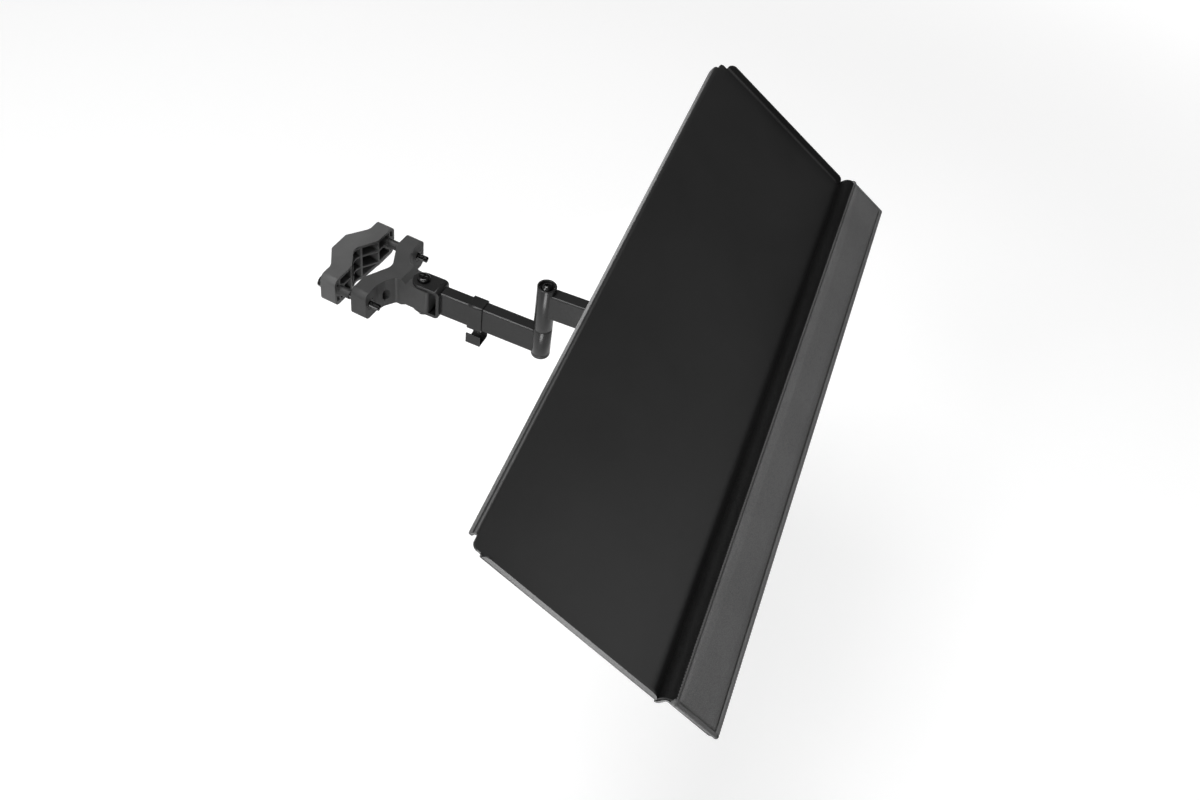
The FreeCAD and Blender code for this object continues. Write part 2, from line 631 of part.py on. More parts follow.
def link_tube(start_y, end_y, middle_z, cope_centres):
    """A rectangular tube along Y, with its ends coped round the barrels that it is welded to."""
    half_width, half_height = TUBE_WIDTH / 2, TUBE_HEIGHT / 2
    outer = rectangle(-half_width, half_width, middle_z - half_height, middle_z + half_height)
    inner = rectangle(-half_width + TUBE_WALL, half_width - TUBE_WALL,
                      middle_z - half_height + TUBE_WALL, middle_z + half_height - TUBE_WALL)
    body = slab("XZ", outer, end_y, start_y, TUBE_CORNER).cut(slab("XZ", inner, end_y, start_y))
    for y in cope_centres:
        low, high = on_screw_line(y, middle_z - half_height), on_screw_line(y, middle_z + half_height)
        body = body.cut(rod(BARREL_RADIUS + WELD_GAP, low, high))
    return body


def lower_barrel():
    return sleeve(BARREL_RADIUS, POST_RADIUS + PRESS_FIT, up(lower_barrel_bottom), up(lower_barrel_top))


def elbow_post():
    body = rod(POST_RADIUS, up(post_bottom), up(post_top))
    return body.cut(rod(M6_RADIUS + RUNNING_FIT, up(post_top - ELBOW_SCREW_LENGTH), up(post_top)))


def elbow_cap():
    disc = rod(BARREL_RADIUS, up(lower_barrel_bottom - CAP_HEIGHT), up(lower_barrel_bottom))
    disc = disc.makeFillet(CAP_EDGE_RADIUS, rim_edges(disc, lower_barrel_bottom - CAP_HEIGHT))
    plug = rod(POST_RADIUS, up(lower_barrel_bottom), up(lower_barrel_bottom + CAP_PLUG_LENGTH))
    return disc.fuse(plug).removeSplitter()


def elbow_thrust_ring():
    bottom = lower_barrel_top + FACE_GAP
    return sleeve(BARREL_RADIUS - THRUST_RING_INSET, POST_RADIUS + RUNNING_FIT,
                  up(bottom), up(bottom + THRUST_RING_THICKNESS))


def elbow_washer():
    return sleeve(ELBOW_WASHER_RADIUS, M6_RADIUS + RUNNING_FIT,
                  up(post_top), up(post_top + ELBOW_WASHER_THICKNESS))


def elbow_screw():
    return aligned(button_screw(ELBOW_SCREW_LENGTH), up(post_top + ELBOW_WASHER_THICKNESS), Z_AXIS)


def cable_clip():
    """One bent strip over the tube, down past it on the +X side and back up in a hook on the -X side."""
    side_x = TUBE_WIDTH / 2 + CLIP_FIT + CLIP_SHEET / 2
    top_z = lower_tube_top + CLIP_FIT + CLIP_SHEET / 2
    lip_z = -lower_tube_top - CLIP_FIT - CLIP_SHEET / 2
    loop_z = -lower_tube_top - CLIP_LOOP_DEPTH - CLIP_SHEET / 2
    hook_top_z = lip_z - CLIP_SHEET / 2 - CLIP_SLOT
    hook_x = side_x + CLIP_HOOK_OFFSET
    path = [(-side_x + CLIP_SHEET / 2 + CLIP_LIP_REACH, lip_z), (-side_x, lip_z), (-side_x, top_z),
            (side_x, top_z), (side_x, loop_z), (-hook_x, loop_z), (-hook_x, hook_top_z)]
    middle_y = CLIP_TO_ELBOW - LOWER_ARM_LENGTH
    bend = min(CLIP_BEND, CLIP_LIP_REACH / 2)
    return bent_strip("XZ", path, CLIP_SHEET, bend, middle_y - CLIP_WIDTH / 2, middle_y + CLIP_WIDTH / 2)


# Upper link, in its own frame: the elbow on the Z axis, the head's screw towards -Y

def upper_barrel():
    return sleeve(BARREL_RADIUS, BARREL_BORE_RADIUS, up(upper_barrel_bottom), up(upper_barrel_top))


def elbow_bushes():
    upper_end = post_top - FACE_GAP
    spans = [(upper_barrel_bottom, upper_barrel_bottom + ELBOW_BUSH_LENGTH),
             (upper_end - ELBOW_BUSH_LENGTH, upper_end)]
    outer, inner = BARREL_BORE_RADIUS - PRESS_FIT, POST_RADIUS + RUNNING_FIT
    return Part.makeCompound([sleeve(outer, inner, up(low), up(high)) for low, high in spans])


def head_barrel():
    half = HEAD_BARREL_HEIGHT / 2
    return sleeve(BARREL_RADIUS, HEAD_BORE_RADIUS, on_screw_line(-UPPER_ARM_LENGTH, upper_tube_middle - half),
                  on_screw_line(-UPPER_ARM_LENGTH, upper_tube_middle + half))


# Head, in its own frame: its screw on the Z axis, the cross barrel towards -Y

def tilt_point(x):
    return Vector(x, tilt_axis_y, tilt_axis_z)


def tilt_bushes():
    """Two plain bushes in the cross barrel, flush with its ends."""
    inner_x = TILT_BARREL_HALF_LENGTH - TILT_BUSH_LENGTH
    return Part.makeCompound([
        sleeve(TILT_BUSH_RADIUS, TILT_BOLT_RADIUS + RUNNING_FIT,
               tilt_point(side * inner_x), tilt_point(side * TILT_BARREL_HALF_LENGTH)) for side in (-1, 1)])


def tilt_stack(radius, start_x, thickness):
    """A pair of rings on the tilt bolt, mirrored about the middle."""
    return Part.makeCompound([
        sleeve(radius, TILT_BOLT_RADIUS + RUNNING_FIT,
               tilt_point(side * start_x), tilt_point(side * (start_x + thickness))) for side in (-1, 1)])


def tilt_bolt():
    head_x = ear_outer_x + TILT_WASHER_THICKNESS
    length = 2 * head_x + TILT_NUT_HEIGHT + TILT_TIP_REACH
    return aligned(cap_screw(length), tilt_point(-head_x), -X_AXIS)


def tilt_nut():
    body = nut(TILT_NUT_FLATS, TILT_NUT_HEIGHT, TILT_BOLT_RADIUS + RUNNING_FIT)
    return aligned(body, tilt_point(ear_outer_x + TILT_WASHER_THICKNESS), X_AXIS)


# Tray, in its own frame

def stud_places(z):
    return [Vector(side_x * STUD_SPACING_X / 2, -TILT_AXIS_TO_BACK + side_y * STUD_SPACING_Y / 2, z)
            for side_x in (-1, 1) for side_y in (-1, 1)]


def tray_bracket():
    """A plate under the tray with two ears that come down beside the cross barrel."""
    top, bottom = -SHEET, -SHEET - BRACKET_PLATE
    middle_y = -TILT_AXIS_TO_BACK
    plan = rectangle(-BRACKET_HALF_LENGTH, BRACKET_HALF_LENGTH,
                     middle_y - BRACKET_HALF_DEPTH, middle_y + BRACKET_HALF_DEPTH)
    plate = slab("XY", plan, bottom, top, BRACKET_CORNER)
    plate = plate.cut([rod(STUD_HOLE_RADIUS, place, place + up(BRACKET_PLATE))
                       for place in stud_places(bottom)])
    tip_z = -TILT_AXIS_DROP - EAR_RADIUS
    ear = [(middle_y - EAR_ROOT_HALF_WIDTH, bottom), (middle_y + EAR_ROOT_HALF_WIDTH, bottom),
           (middle_y + EAR_RADIUS, tip_z), (middle_y - EAR_RADIUS, tip_z)]
    ears = []
    for low in (ear_inner_x, -ear_outer_x):
        solid = slab("YZ", ear, low, low + EAR_PLATE, [0.0, 0.0, EAR_CORNER, EAR_CORNER])
        hole = rod(TILT_BOLT_RADIUS + RUNNING_FIT, Vector(low, middle_y, -TILT_AXIS_DROP),
                   Vector(low + EAR_PLATE, middle_y, -TILT_AXIS_DROP))
        ears.append(solid.cut(hole))
    return plate.fuse(ears).removeSplitter()


def tray_studs():
    return Part.makeCompound([rod(STUD_RADIUS, place - up(STUD_LENGTH), place)
                              for place in stud_places(-SHEET)])


def stud_nuts():
    seat = -SHEET - BRACKET_PLATE
    body = Part.makeCylinder(STUD_NUT_FLANGE_RADIUS, STUD_NUT_FLANGE_HEIGHT)
    body = body.fuse(chamfered_hexagon(STUD_NUT_FLATS, 0.0, STUD_NUT_HEIGHT)).removeSplitter()
    body = body.cut(rod(STUD_RADIUS + RUNNING_FIT, ORIGIN, up(STUD_NUT_HEIGHT)))
    return Part.makeCompound([aligned(body, place, -Z_AXIS) for place in stud_places(seat)])


def tray_pan():
    """The bent sheet: back flange down, side flanges up, and a front wall with a lip on top."""
    half_sheet = SHEET / 2
    lip_z = LIP_TOP - half_sheet
    path = [(-half_sheet, -BACK_FLANGE_DROP), (-half_sheet, -half_sheet), (wall_y, -half_sheet),
            (lip_start_y, lip_z), (lip_front_y, lip_z)]
    body = bent_strip("YZ", path, SHEET, BACK_BEND, -TRAY_HALF_LENGTH, TRAY_HALF_LENGTH)

    low, high = -BACK_FLANGE_DROP, LIP_TOP
    lip_half = TRAY_HALF_LENGTH - LIP_END_INSET
    plate_plan = rectangle(-side_bend_x, side_bend_x, side_flange_front_y - SHEET, plate_back_y)
    plate_zone = slab("XY", plate_plan, low, high, [0.0, 0.0, PLATE_CORNER, PLATE_CORNER])
    lip_plan = rectangle(-lip_half, lip_half, lip_front_y, side_flange_front_y)
    lip_zone = slab("XY", lip_plan, low, high, [LIP_CORNER, LIP_CORNER, 0.0, 0.0])
    flange_half = TRAY_HALF_LENGTH - BACK_FLANGE_END_GAP
    flange_view = rectangle(-flange_half, flange_half, low, high)
    flange_radii = [BACK_FLANGE_CORNER, BACK_FLANGE_CORNER, 0.0, 0.0]
    flange_zone = slab("XZ", flange_view, plate_back_y - PLATE_CORNER, 0.0, flange_radii)
    body = body.common(plate_zone.fuse([lip_zone, flange_zone]))

    for side in (-1, 1):
        flange_x = side * (TRAY_HALF_LENGTH - half_sheet)
        flange_path = [(side * (side_bend_x - OVERCUT), -half_sheet), (flange_x, -half_sheet),
                       (flange_x, SIDE_FLANGE_TOP)]
        flange = bent_strip("XZ", flange_path, SHEET, TRAY_BEND, side_flange_front_y, -SIDE_FLANGE_START)
        view = rectangle(side_flange_front_y, -SIDE_FLANGE_START, -SHEET, SIDE_FLANGE_TOP)
        ends = slab("YZ", view, -TRAY_HALF_LENGTH, TRAY_HALF_LENGTH,
                    [0.0, 0.0, SIDE_FLANGE_BACK_RADIUS, SIDE_FLANGE_FRONT_RADIUS])
        body = body.fuse(flange.common(ends))
    return body.removeSplitter()


def pad_section(x, inset, crown):
    """The wrist pad's cross-section: flat below, bulged sides that draw in at the seam, crowned top."""
    middle_y = (pad_back_y + pad_front_y) / 2
    half_depth = PAD_DEPTH / 2 - inset
    foot_half, seam_half = half_depth - PAD_FOOT_INSET, half_depth - PAD_SEAM_INSET
    side_middle = LIP_TOP + PAD_EDGE_HEIGHT / 2
    side_top = LIP_TOP + PAD_EDGE_HEIGHT

    def at(y_offset, z):
        return Vector(x, middle_y + y_offset, z)

    return Part.Wire([
        Part.LineSegment(at(-foot_half, LIP_TOP), at(foot_half, LIP_TOP)).toShape(),
        Part.Arc(at(foot_half, LIP_TOP), at(half_depth, side_middle), at(seam_half, side_top)).toShape(),
        Part.Arc(at(seam_half, side_top), at(0, side_top + crown), at(-seam_half, side_top)).toShape(),
        Part.Arc(at(-seam_half, side_top), at(-half_depth, side_middle), at(-foot_half, LIP_TOP)).toShape()])


def wrist_pad():
    """The padded rest: full along its length, with its crown falling and its corners rounded at each end."""
    ends = [(pad_half_length - PAD_CORNER - PAD_END_FALL, 0.0, PAD_CROWN)]
    for step in range(PAD_CORNER_STEPS + 1):
        turn = math.pi / 2 * step / PAD_CORNER_STEPS
        along = PAD_CORNER * (1 - math.sin(turn))
        ends.append((pad_half_length - along, PAD_CORNER * (1 - math.cos(turn)), PAD_END_CROWN))
    stations = [(-x, inset, crown) for x, inset, crown in ends[::-1]] + ends
    body = Part.makeLoft([pad_section(*station) for station in stations], True, True)
    return body.cut(wrist_board())


def wrist_board():
    half = pad_half_length - BOARD_INSET
    return block((-half, half), (pad_front_y + BOARD_INSET, pad_back_y - BOARD_INSET),
                 (LIP_TOP, LIP_TOP + BOARD_THICKNESS))


# Frames of the links at rest, and the pieces in them

def yawed(origin, yaw):
    return Placement(origin, Rotation(Z_AXIS, yaw))


clamp_frame = Placement()
base_frame = yawed(on_screw_line(base_screw_y, 0), 0)
lower_frame = yawed(on_screw_line(base_screw_y, 0), LOWER_ARM_YAW)
elbow_place = lower_frame.multVec(on_screw_line(-LOWER_ARM_LENGTH, 0))
upper_frame = yawed(elbow_place, UPPER_ARM_YAW)
head_place = upper_frame.multVec(on_screw_line(-UPPER_ARM_LENGTH, 0))
head_frame = yawed(head_place, HEAD_YAW)
head_middle_frame = yawed(head_place + up(upper_tube_middle), HEAD_YAW)
tilted = Placement(tilt_point(0), Rotation(X_AXIS, TRAY_TILT))
tray_from_axis = Placement(Vector(0, TILT_AXIS_TO_BACK, TILT_AXIS_DROP), Rotation())
tray_frame = head_frame.multiply(tilted).multiply(tray_from_axis)


def base_swivel_pieces():
    length = stack_length(base_fork_outer)
    washer_z = -base_fork_outer - M6_WASHER_THICKNESS
    return {
        "arm_fork": fork(base_fork_inner, FORK_PLATE, FORK_BEND, base_web_inner, M6_RADIUS + RUNNING_FIT),
        "base_screw": aligned(pan_screw(length), up(base_fork_outer), Z_AXIS),
        "base_washer": aligned(m6_washer(), up(washer_z), Z_AXIS),
        "base_nut": aligned(m6_lock_nut(), up(washer_z - M6_LOCK_NUT_HEIGHT), Z_AXIS),
    }


def head_swivel_pieces():
    length = stack_length(head_fork_outer)
    washer_z = -head_fork_outer - M6_WASHER_THICKNESS
    return {
        "head_fork": fork(head_fork_inner, HEAD_PLATE, HEAD_BEND, head_web_inner, M6_RADIUS + RUNNING_FIT),
        "head_screw": aligned(button_screw(length), up(head_fork_outer), Z_AXIS),
        "head_washer": aligned(m6_washer(), up(washer_z), Z_AXIS),
        "head_nut": aligned(m6_lock_nut(), up(washer_z - M6_LOCK_NUT_HEIGHT), Z_AXIS),
    }


def lower_link_pieces():
    tube = link_tube(-base_web_outer - WELD_GAP, -LOWER_ARM_LENGTH, 0.0, [-LOWER_ARM_LENGTH])
    return {"lower_tube": tube, "cable_clip": cable_clip()}


def elbow_lower_pieces():
    return {"lower_barrel": lower_barrel(), "elbow_post": elbow_post(), "elbow_cap": elbow_cap(),
            "elbow_washer": elbow_washer(), "elbow_screw": elbow_screw()}


def upper_link_pieces():
    tube = link_tube(0.0, -UPPER_ARM_LENGTH, upper_tube_middle, [0.0, -UPPER_ARM_LENGTH])
    bushes = bush_pair(HEAD_BORE_RADIUS - PRESS_FIT, M6_RADIUS + RUNNING_FIT,
                       BARREL_RADIUS - THRUST_RING_INSET, HEAD_BUSH_LENGTH, HEAD_BARREL_HEIGHT / 2)
    bushes.Placement = Placement(on_screw_line(-UPPER_ARM_LENGTH, upper_tube_middle), Rotation())
    return {"upper_barrel": upper_barrel(), "elbow_bushes": elbow_bushes(),
            "elbow_thrust_ring": elbow_thrust_ring(), "upper_tube": tube,
            "head_barrel": head_barrel(), "head_bushes": bushes}


def tilt_pieces():
    barrel = sleeve(TILT_BARREL_RADIUS, TILT_BUSH_RADIUS + PRESS_FIT,
                    tilt_point(-TILT_BARREL_HALF_LENGTH), tilt_point(TILT_BARREL_HALF_LENGTH))
    return {"tilt_barrel": barrel, "tilt_bushes": tilt_bushes(),
            "friction_discs": tilt_stack(DISC_RADIUS, TILT_BARREL_HALF_LENGTH + FACE_GAP, DISC_THICKNESS),
            "tilt_washers": tilt_stack(TILT_WASHER_RADIUS, ear_outer_x, TILT_WASHER_THICKNESS),
            "tilt_bolt": tilt_bolt(), "tilt_nut": tilt_nut()}


def tray_pieces():
    return {"tray_bracket": tray_bracket(), "tray_studs": tray_studs(), "stud_nuts": stud_nuts(),
            "tray_pan": tray_pan(), "wrist_pad": wrist_pad(), "wrist_board": wrist_board()}


def clamp_pieces():
    return {"front_jaw": front_jaw(), "clamp_nuts": clamp_nuts(), "rear_jaw": rear_jaw(),
            "clamp_bolt_left": clamp_bolt(-1), "clamp_bolt_right": clamp_bolt(1)}


def base_bush_pieces():
    bushes = bush_pair(BASE_BUSH_RADIUS, M6_RADIUS + RUNNING_FIT, BASE_FLANGE_RADIUS, BASE_BUSH_LENGTH,
                       BLOCK_HALF_HEIGHT)
    return {"base_bushes": bushes}


def main():
    os.makedirs("parts", exist_ok=True)
    elbow_frame = yawed(elbow_place, LOWER_ARM_YAW)
    groups = [(clamp_frame, clamp_pieces), (base_frame, base_bush_pieces), (lower_frame, base_swivel_pieces),
              (lower_frame, lower_link_pieces), (elbow_frame, elbow_lower_pieces),
              (upper_frame, upper_link_pieces), (head_middle_frame, head_swivel_pieces),
              (head_frame, tilt_pieces), (tray_frame, tray_pieces)]
    for frame, make in groups:
        for name, shape in make().items():
            shape.Placement = frame.multiply(shape.Placement)
            shape.exportStep("parts/" + name + ".step")
            print(name, len(shape.Solids), "valid" if shape.isValid() else "INVALID", round(shape.Volume))


main()
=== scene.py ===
# %% [markdown]
# # A pole-mounted tray with a padded wrist rest
# A steel tray with a padded wrist rest, on a two-link arm that clamps to a round pole. The CAD model is
# loaded as a fixed frame. Its hard parts stay as they are and get finer edges and procedural finishes.
# The soft wrist rest and the threaded clamp bolts are modelled new, in the places of their CAD solids.
# Everything is in metres, in the frame of the CAD.

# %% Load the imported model
import json
import math

import bpy
from mathutils import Matrix, Vector


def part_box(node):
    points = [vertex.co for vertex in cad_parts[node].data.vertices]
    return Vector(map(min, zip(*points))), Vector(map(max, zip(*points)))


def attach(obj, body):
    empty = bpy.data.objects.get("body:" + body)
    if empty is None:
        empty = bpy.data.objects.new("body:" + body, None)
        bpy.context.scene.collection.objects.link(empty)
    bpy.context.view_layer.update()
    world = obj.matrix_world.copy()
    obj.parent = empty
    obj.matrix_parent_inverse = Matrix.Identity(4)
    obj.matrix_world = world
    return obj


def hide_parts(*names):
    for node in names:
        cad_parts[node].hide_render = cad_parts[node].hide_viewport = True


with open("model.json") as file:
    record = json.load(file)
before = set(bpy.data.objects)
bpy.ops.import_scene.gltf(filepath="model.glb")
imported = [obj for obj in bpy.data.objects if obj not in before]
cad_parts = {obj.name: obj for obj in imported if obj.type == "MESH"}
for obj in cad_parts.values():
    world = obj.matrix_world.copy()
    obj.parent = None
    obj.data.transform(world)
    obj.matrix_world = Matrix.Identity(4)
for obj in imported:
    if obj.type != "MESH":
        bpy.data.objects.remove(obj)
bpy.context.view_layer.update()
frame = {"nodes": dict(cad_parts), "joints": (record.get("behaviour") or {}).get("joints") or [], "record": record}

MM = 0.001
nodes = frame["nodes"]
record = frame["record"]
print("CAD nodes:", len(nodes))

# %% [markdown]
# ## Small helpers
# Operators act on whatever is selected, and the loaded nodes arrive selected. So every step starts by
# deselecting everything. Points are then picked by a test on their place.

# %% Selecting and editing
def start_clean():
    """Object mode, with nothing selected."""
    if bpy.context.object and bpy.context.object.mode != "OBJECT":
        bpy.ops.object.mode_set(mode="OBJECT")
    bpy.ops.object.select_all(action="DESELECT")


def make_active(piece):
    start_clean()
    piece.select_set(True)
    bpy.context.view_layer.objects.active = piece


def new_piece(name):
    """Names the primitive that has just been added."""
    piece = bpy.context.object
    piece.name = name
    piece.data.name = name
    return piece


def pick_points(piece, test):
    """In edit mode, selects the points whose place passes a test."""
    bpy.ops.mesh.select_mode(type="VERT")
    bpy.ops.mesh.select_all(action="DESELECT")
    bpy.ops.object.mode_set(mode="OBJECT")
    for point in piece.data.vertices:
        point.select = test(point.co)
    bpy.ops.object.mode_set(mode="EDIT")


def apply_all(piece):
    """Applies every modifier of a piece, in order."""
    make_active(piece)
    for modifier in list(piece.modifiers):
        bpy.ops.object.modifier_apply(modifier=modifier.name)


def apply_place(piece):
    """Works the location, turn and scale of a piece into its mesh."""
    make_active(piece)
    bpy.ops.object.transform_apply(location=True, rotation=True, scale=True)


def grey(level, warmth=0.0):
    """A linear colour from a grey level of 0 to 255 as it is seen on the screen."""
    linear = ((level / 255 + 0.055) / 1.055) ** 2.4
    return (linear * (1 + warmth), linear, linear * (1 - warmth), 1.0)

# %% [markdown]
# ## The tray's own directions
# The tray slopes and is turned a little, so its parts are modelled flat and then laid in place. Its
# directions come from the record: X is the axis of the tilt, the deck's mount gives the normal, and the
# corners of the CAD solids, measured in those directions, give the sizes.

# %% Directions and sizes of the tray
deck = next(m for m in record["mounts"] if m["name"] == "keyboard_deck")
tilt = next(j for j in frame["joints"] if j["name"] == "tray_tilt")
tray_x = Vector(tilt["axis"]).normalized()
tray_z = Vector(deck["axis"]).normalized()
tray_y = tray_z.cross(tray_x).normalized()
tray_place = Matrix((tray_x, tray_y, tray_z)).transposed().to_4x4()
tray_place.translation = Vector(deck["pos_m"])


def span_in_tray(node):
    """The lowest and highest corner of a CAD node in the tray's own directions."""
    inverse = tray_place.inverted()
    points = [inverse @ vertex.co for vertex in nodes[node].data.vertices]
    low = Vector(min(p[i] for p in points) for i in range(3))
    high = Vector(max(p[i] for p in points) for i in range(3))
    return low, high


pad_low, pad_high = span_in_tray("wrist_pad")
print("wrist pad, mm:", [round((h - l) / MM, 1) for l, h in zip(pad_low, pad_high)])


def lay_on_tray(piece):
    """Moves a piece from the tray's own directions to its place, and leaves its object at the origin."""
    piece.matrix_world = tray_place
    apply_place(piece)

# %% [markdown]
# ## Shared surface effects
# Powder coat, moulded nylon and leatherette all need small irregularities: a fine grain, and broad soft
# patches that keep a large face from looking like flat paint. Each effect is a node group with named
# inputs, so that every finish can place it with its own values. The groups give out only masks and
# heights, and the shader stays in the material.

# %% Node helpers
def add_node(tree, kind, **settings):
    item = tree.nodes.new(kind)
    for key, value in settings.items():
        setattr(item, key, value)
    return item


def feed(tree, socket, value):
    """Sets an input to a number, or links it to an output."""
    if isinstance(value, (int, float)):
        socket.default_value = value
    else:
        tree.links.new(value, socket)


def maths(tree, operation, first, second):
    """A Math node. Each side is an output or a number."""
    item = add_node(tree, "ShaderNodeMath", operation=operation)
    feed(tree, item.inputs[0], first)
    feed(tree, item.inputs[1], second)
    return item.outputs[0]


def map_value(tree, value, start, end, low, high, interpolation="SMOOTHSTEP"):
    """Goes from low to high while a value goes from start to end."""
    item = add_node(tree, "ShaderNodeMapRange", interpolation_type=interpolation)
    for label, number in (("From Min", start), ("From Max", end), ("To Min", low), ("To Max", high)):
        item.inputs[label].default_value = number
    tree.links.new(value, item.inputs["Value"])
    return item.outputs["Result"]


def object_point(tree):
    return add_node(tree, "ShaderNodeTexCoord").outputs["Object"]


def measure_along(tree, point, direction):
    """How far a point lies along a direction."""
    item = add_node(tree, "ShaderNodeVectorMath", operation="DOT_PRODUCT")
    item.inputs[1].default_value = direction
    tree.links.new(point, item.inputs[0])
    return item.outputs["Value"]


def fade_along(tree, direction, start, end, low):
    """A factor that goes smoothly from low to 1 between two places along a direction."""
    return map_value(tree, measure_along(tree, object_point(tree), direction), start, end, low, 1.0)


def add_noise(tree, place, scale, **values):
    """A noise texture. Its scale is an output or a number."""
    noise = add_node(tree, "ShaderNodeTexNoise")
    tree.links.new(place, noise.inputs["Vector"])
    feed(tree, noise.inputs["Scale"], scale)
    for label, value in values.items():
        noise.inputs[label].default_value = value
    return noise


def make_group(name, inputs, outputs):
    """A node group with float inputs (name, value) and float outputs."""
    group = bpy.data.node_groups.new(name, "ShaderNodeTree")
    for label, value in inputs:
        socket = group.interface.new_socket(label, in_out="INPUT", socket_type="NodeSocketFloat")
        socket.default_value = value
    for label in outputs:
        group.interface.new_socket(label, in_out="OUTPUT", socket_type="NodeSocketFloat")
    entry = group.nodes.new("NodeGroupInput")
    leave = group.nodes.new("NodeGroupOutput")
    return group, entry, leave

# %% Grain and patches
def make_surface_group():
    """Fine grain, and broad soft patches, from Object coordinates."""
    group, entry, leave = make_group(
        "grain and patches", [("Grain Scale", 1500.0), ("Patch Scale", 14.0)], ["Grain", "Patches"])
    place = object_point(group)
    grain = add_noise(group, place, entry.outputs["Grain Scale"], Detail=3.0, Roughness=0.6)
    patches = add_noise(group, place, entry.outputs["Patch Scale"], Detail=4.0, Distortion=0.4)
    group.links.new(grain.outputs["Fac"], leave.inputs["Grain"])
    group.links.new(patches.outputs["Fac"], leave.inputs["Patches"])
    return group


surface_group = make_surface_group()

# %% Leather pebbles
WOBBLE_SCALE = 260.0
WOBBLE_REACH = 1.2 * MM
CREASE_WIDTH = 0.32


def make_pebble_group():
    """The small rounded pebbles of grained leatherette, with the creases between them."""
    group, entry, leave = make_group("leather pebbles", [("Pebble Scale", 800.0)], ["Height", "Creases"])
    place = object_point(group)
    wobble = add_noise(group, place, WOBBLE_SCALE)
    shift = add_node(group, "ShaderNodeVectorMath", operation="SCALE")
    shift.inputs["Scale"].default_value = WOBBLE_REACH
    group.links.new(wobble.outputs["Color"], shift.inputs[0])
    moved = add_node(group, "ShaderNodeVectorMath", operation="ADD")
    group.links.new(place, moved.inputs[0])
    group.links.new(shift.outputs["Vector"], moved.inputs[1])
    cells = add_node(group, "ShaderNodeTexVoronoi", feature="DISTANCE_TO_EDGE")
    group.links.new(moved.outputs["Vector"], cells.inputs["Vector"])
    group.links.new(entry.outputs["Pebble Scale"], cells.inputs["Scale"])
    height = map_value(group, cells.outputs["Distance"], 0.0, CREASE_WIDTH, 0.0, 1.0)
    group.links.new(height, leave.inputs["Height"])
    group.links.new(maths(group, "SUBTRACT", 1.0, height), leave.inputs["Creases"])
    return group


pebble_group = make_pebble_group()

# %% Plating marks
MARK_STRETCH = 6.0


def make_marks_group():
    """Fine streaks, drawn out along the X direction, as plating leaves them on small metal parts."""
    group, entry, leave = make_group("plating marks", [("Mark Scale", 900.0)], ["Marks"])
    stretch = add_node(group, "ShaderNodeMapping")
    stretch.inputs["Scale"].default_value = (1.0, MARK_STRETCH, MARK_STRETCH)
    group.links.new(object_point(group), stretch.inputs["Vector"])
    marks = add_noise(group, stretch.outputs["Vector"], entry.outputs["Mark Scale"], Detail=2.0)
    group.links.new(marks.outputs["Fac"], leave.inputs["Marks"])
    return group


marks_group = make_marks_group()

# %% [markdown]
# ## Finishes
# A finish is one Principled shader whose colour, roughness and bump each follow a mask. The builder below
# takes the two ends of each: the mask then runs between them. Values that are the same all over, such as
# metallic or the refractive index, are set on the shader itself.

# %% One finish from two ends
MASK_LOW = 0.3
MASK_HIGH = 0.7


def ranged(tree, mask, low, high):
    """A value that follows a mask from low to high, over the middle of the mask's range."""
    return map_value(tree, mask, MASK_LOW, MASK_HIGH, low, high, interpolation="LINEAR")


def place_group(tree, group, values):
    item = add_node(tree, "ShaderNodeGroup", node_tree=group)
    for label, value in values.items():
        item.inputs[label].default_value = value
    return item


def set_bump(tree, height, depth):
    """Lets a height mask shape the surface of the tree's shader."""
    bump = add_node(tree, "ShaderNodeBump")
    bump.inputs["Distance"].default_value = depth
    tree.links.new(height, bump.inputs["Height"])
    tree.links.new(bump.outputs["Normal"], tree.nodes["Principled BSDF"].inputs["Normal"])


def new_finish(name, colours, roughness, grain_scale, grain_depth, patch_scale=14.0, **shader_values):
    """A material whose colour drifts with soft patches, and whose roughness and bump follow a fine grain."""
    material = bpy.data.materials.new(name)
    material.use_nodes = True
    tree = material.node_tree
    shader = tree.nodes["Principled BSDF"]
    surface = place_group(tree, surface_group, {"Grain Scale": grain_scale, "Patch Scale": patch_scale})
    mix = add_node(tree, "ShaderNodeMix", data_type="RGBA")
    mix.inputs["A"].default_value, mix.inputs["B"].default_value = colours
    tree.links.new(ranged(tree, surface.outputs["Patches"], 0.0, 1.0), mix.inputs["Factor"])
    tree.links.new(mix.outputs["Result"], shader.inputs["Base Color"])
    tree.links.new(ranged(tree, surface.outputs["Grain"], *roughness), shader.inputs["Roughness"])
    set_bump(tree, surface.outputs["Grain"], grain_depth)
    for label, value in shader_values.items():
        shader.inputs[label.replace("_", " ")].default_value = value
    return material

# %% [markdown]
# ## Painted steel
# The tray, the tubes, the forks and the cable clip are steel with black powder coat. The powder melts into a
# tight, faintly pebbled skin, matt but not dead: it shows a broad soft sheen. The grain is a noise of about
# half a millimetre with a very shallow bump. At the foot of the tray's front wall the sheen is sharper, as
# where powder lies thicker and flows out smoother, so there the roughness falls towards the wall.

# %% Powder coat
CORNER_REACH = 14.0 * MM
CORNER_SMOOTHNESS = 0.5
powder_coat = new_finish(
    "black_powder_coat", (grey(22), grey(30)), (0.4, 0.5), grain_scale=2200, grain_depth=0.00004,
    patch_scale=9.0)
tree = powder_coat.node_tree
shader = tree.nodes["Principled BSDF"]
wall_foot = (tray_place @ Vector((0, pad_high.y, 0))).dot(tray_y)
smoother = fade_along(tree, tray_y, wall_foot, wall_foot + CORNER_REACH, CORNER_SMOOTHNESS)
dry = shader.inputs["Roughness"].links[0].from_socket
tree.links.new(maths(tree, "MULTIPLY", dry, smoother), shader.inputs["Roughness"])
arm_coat = new_finish(
    "arm_powder_coat", (grey(28), grey(36)), (0.2, 0.28), grain_scale=2200, grain_depth=0.00002, IOR=1.45)
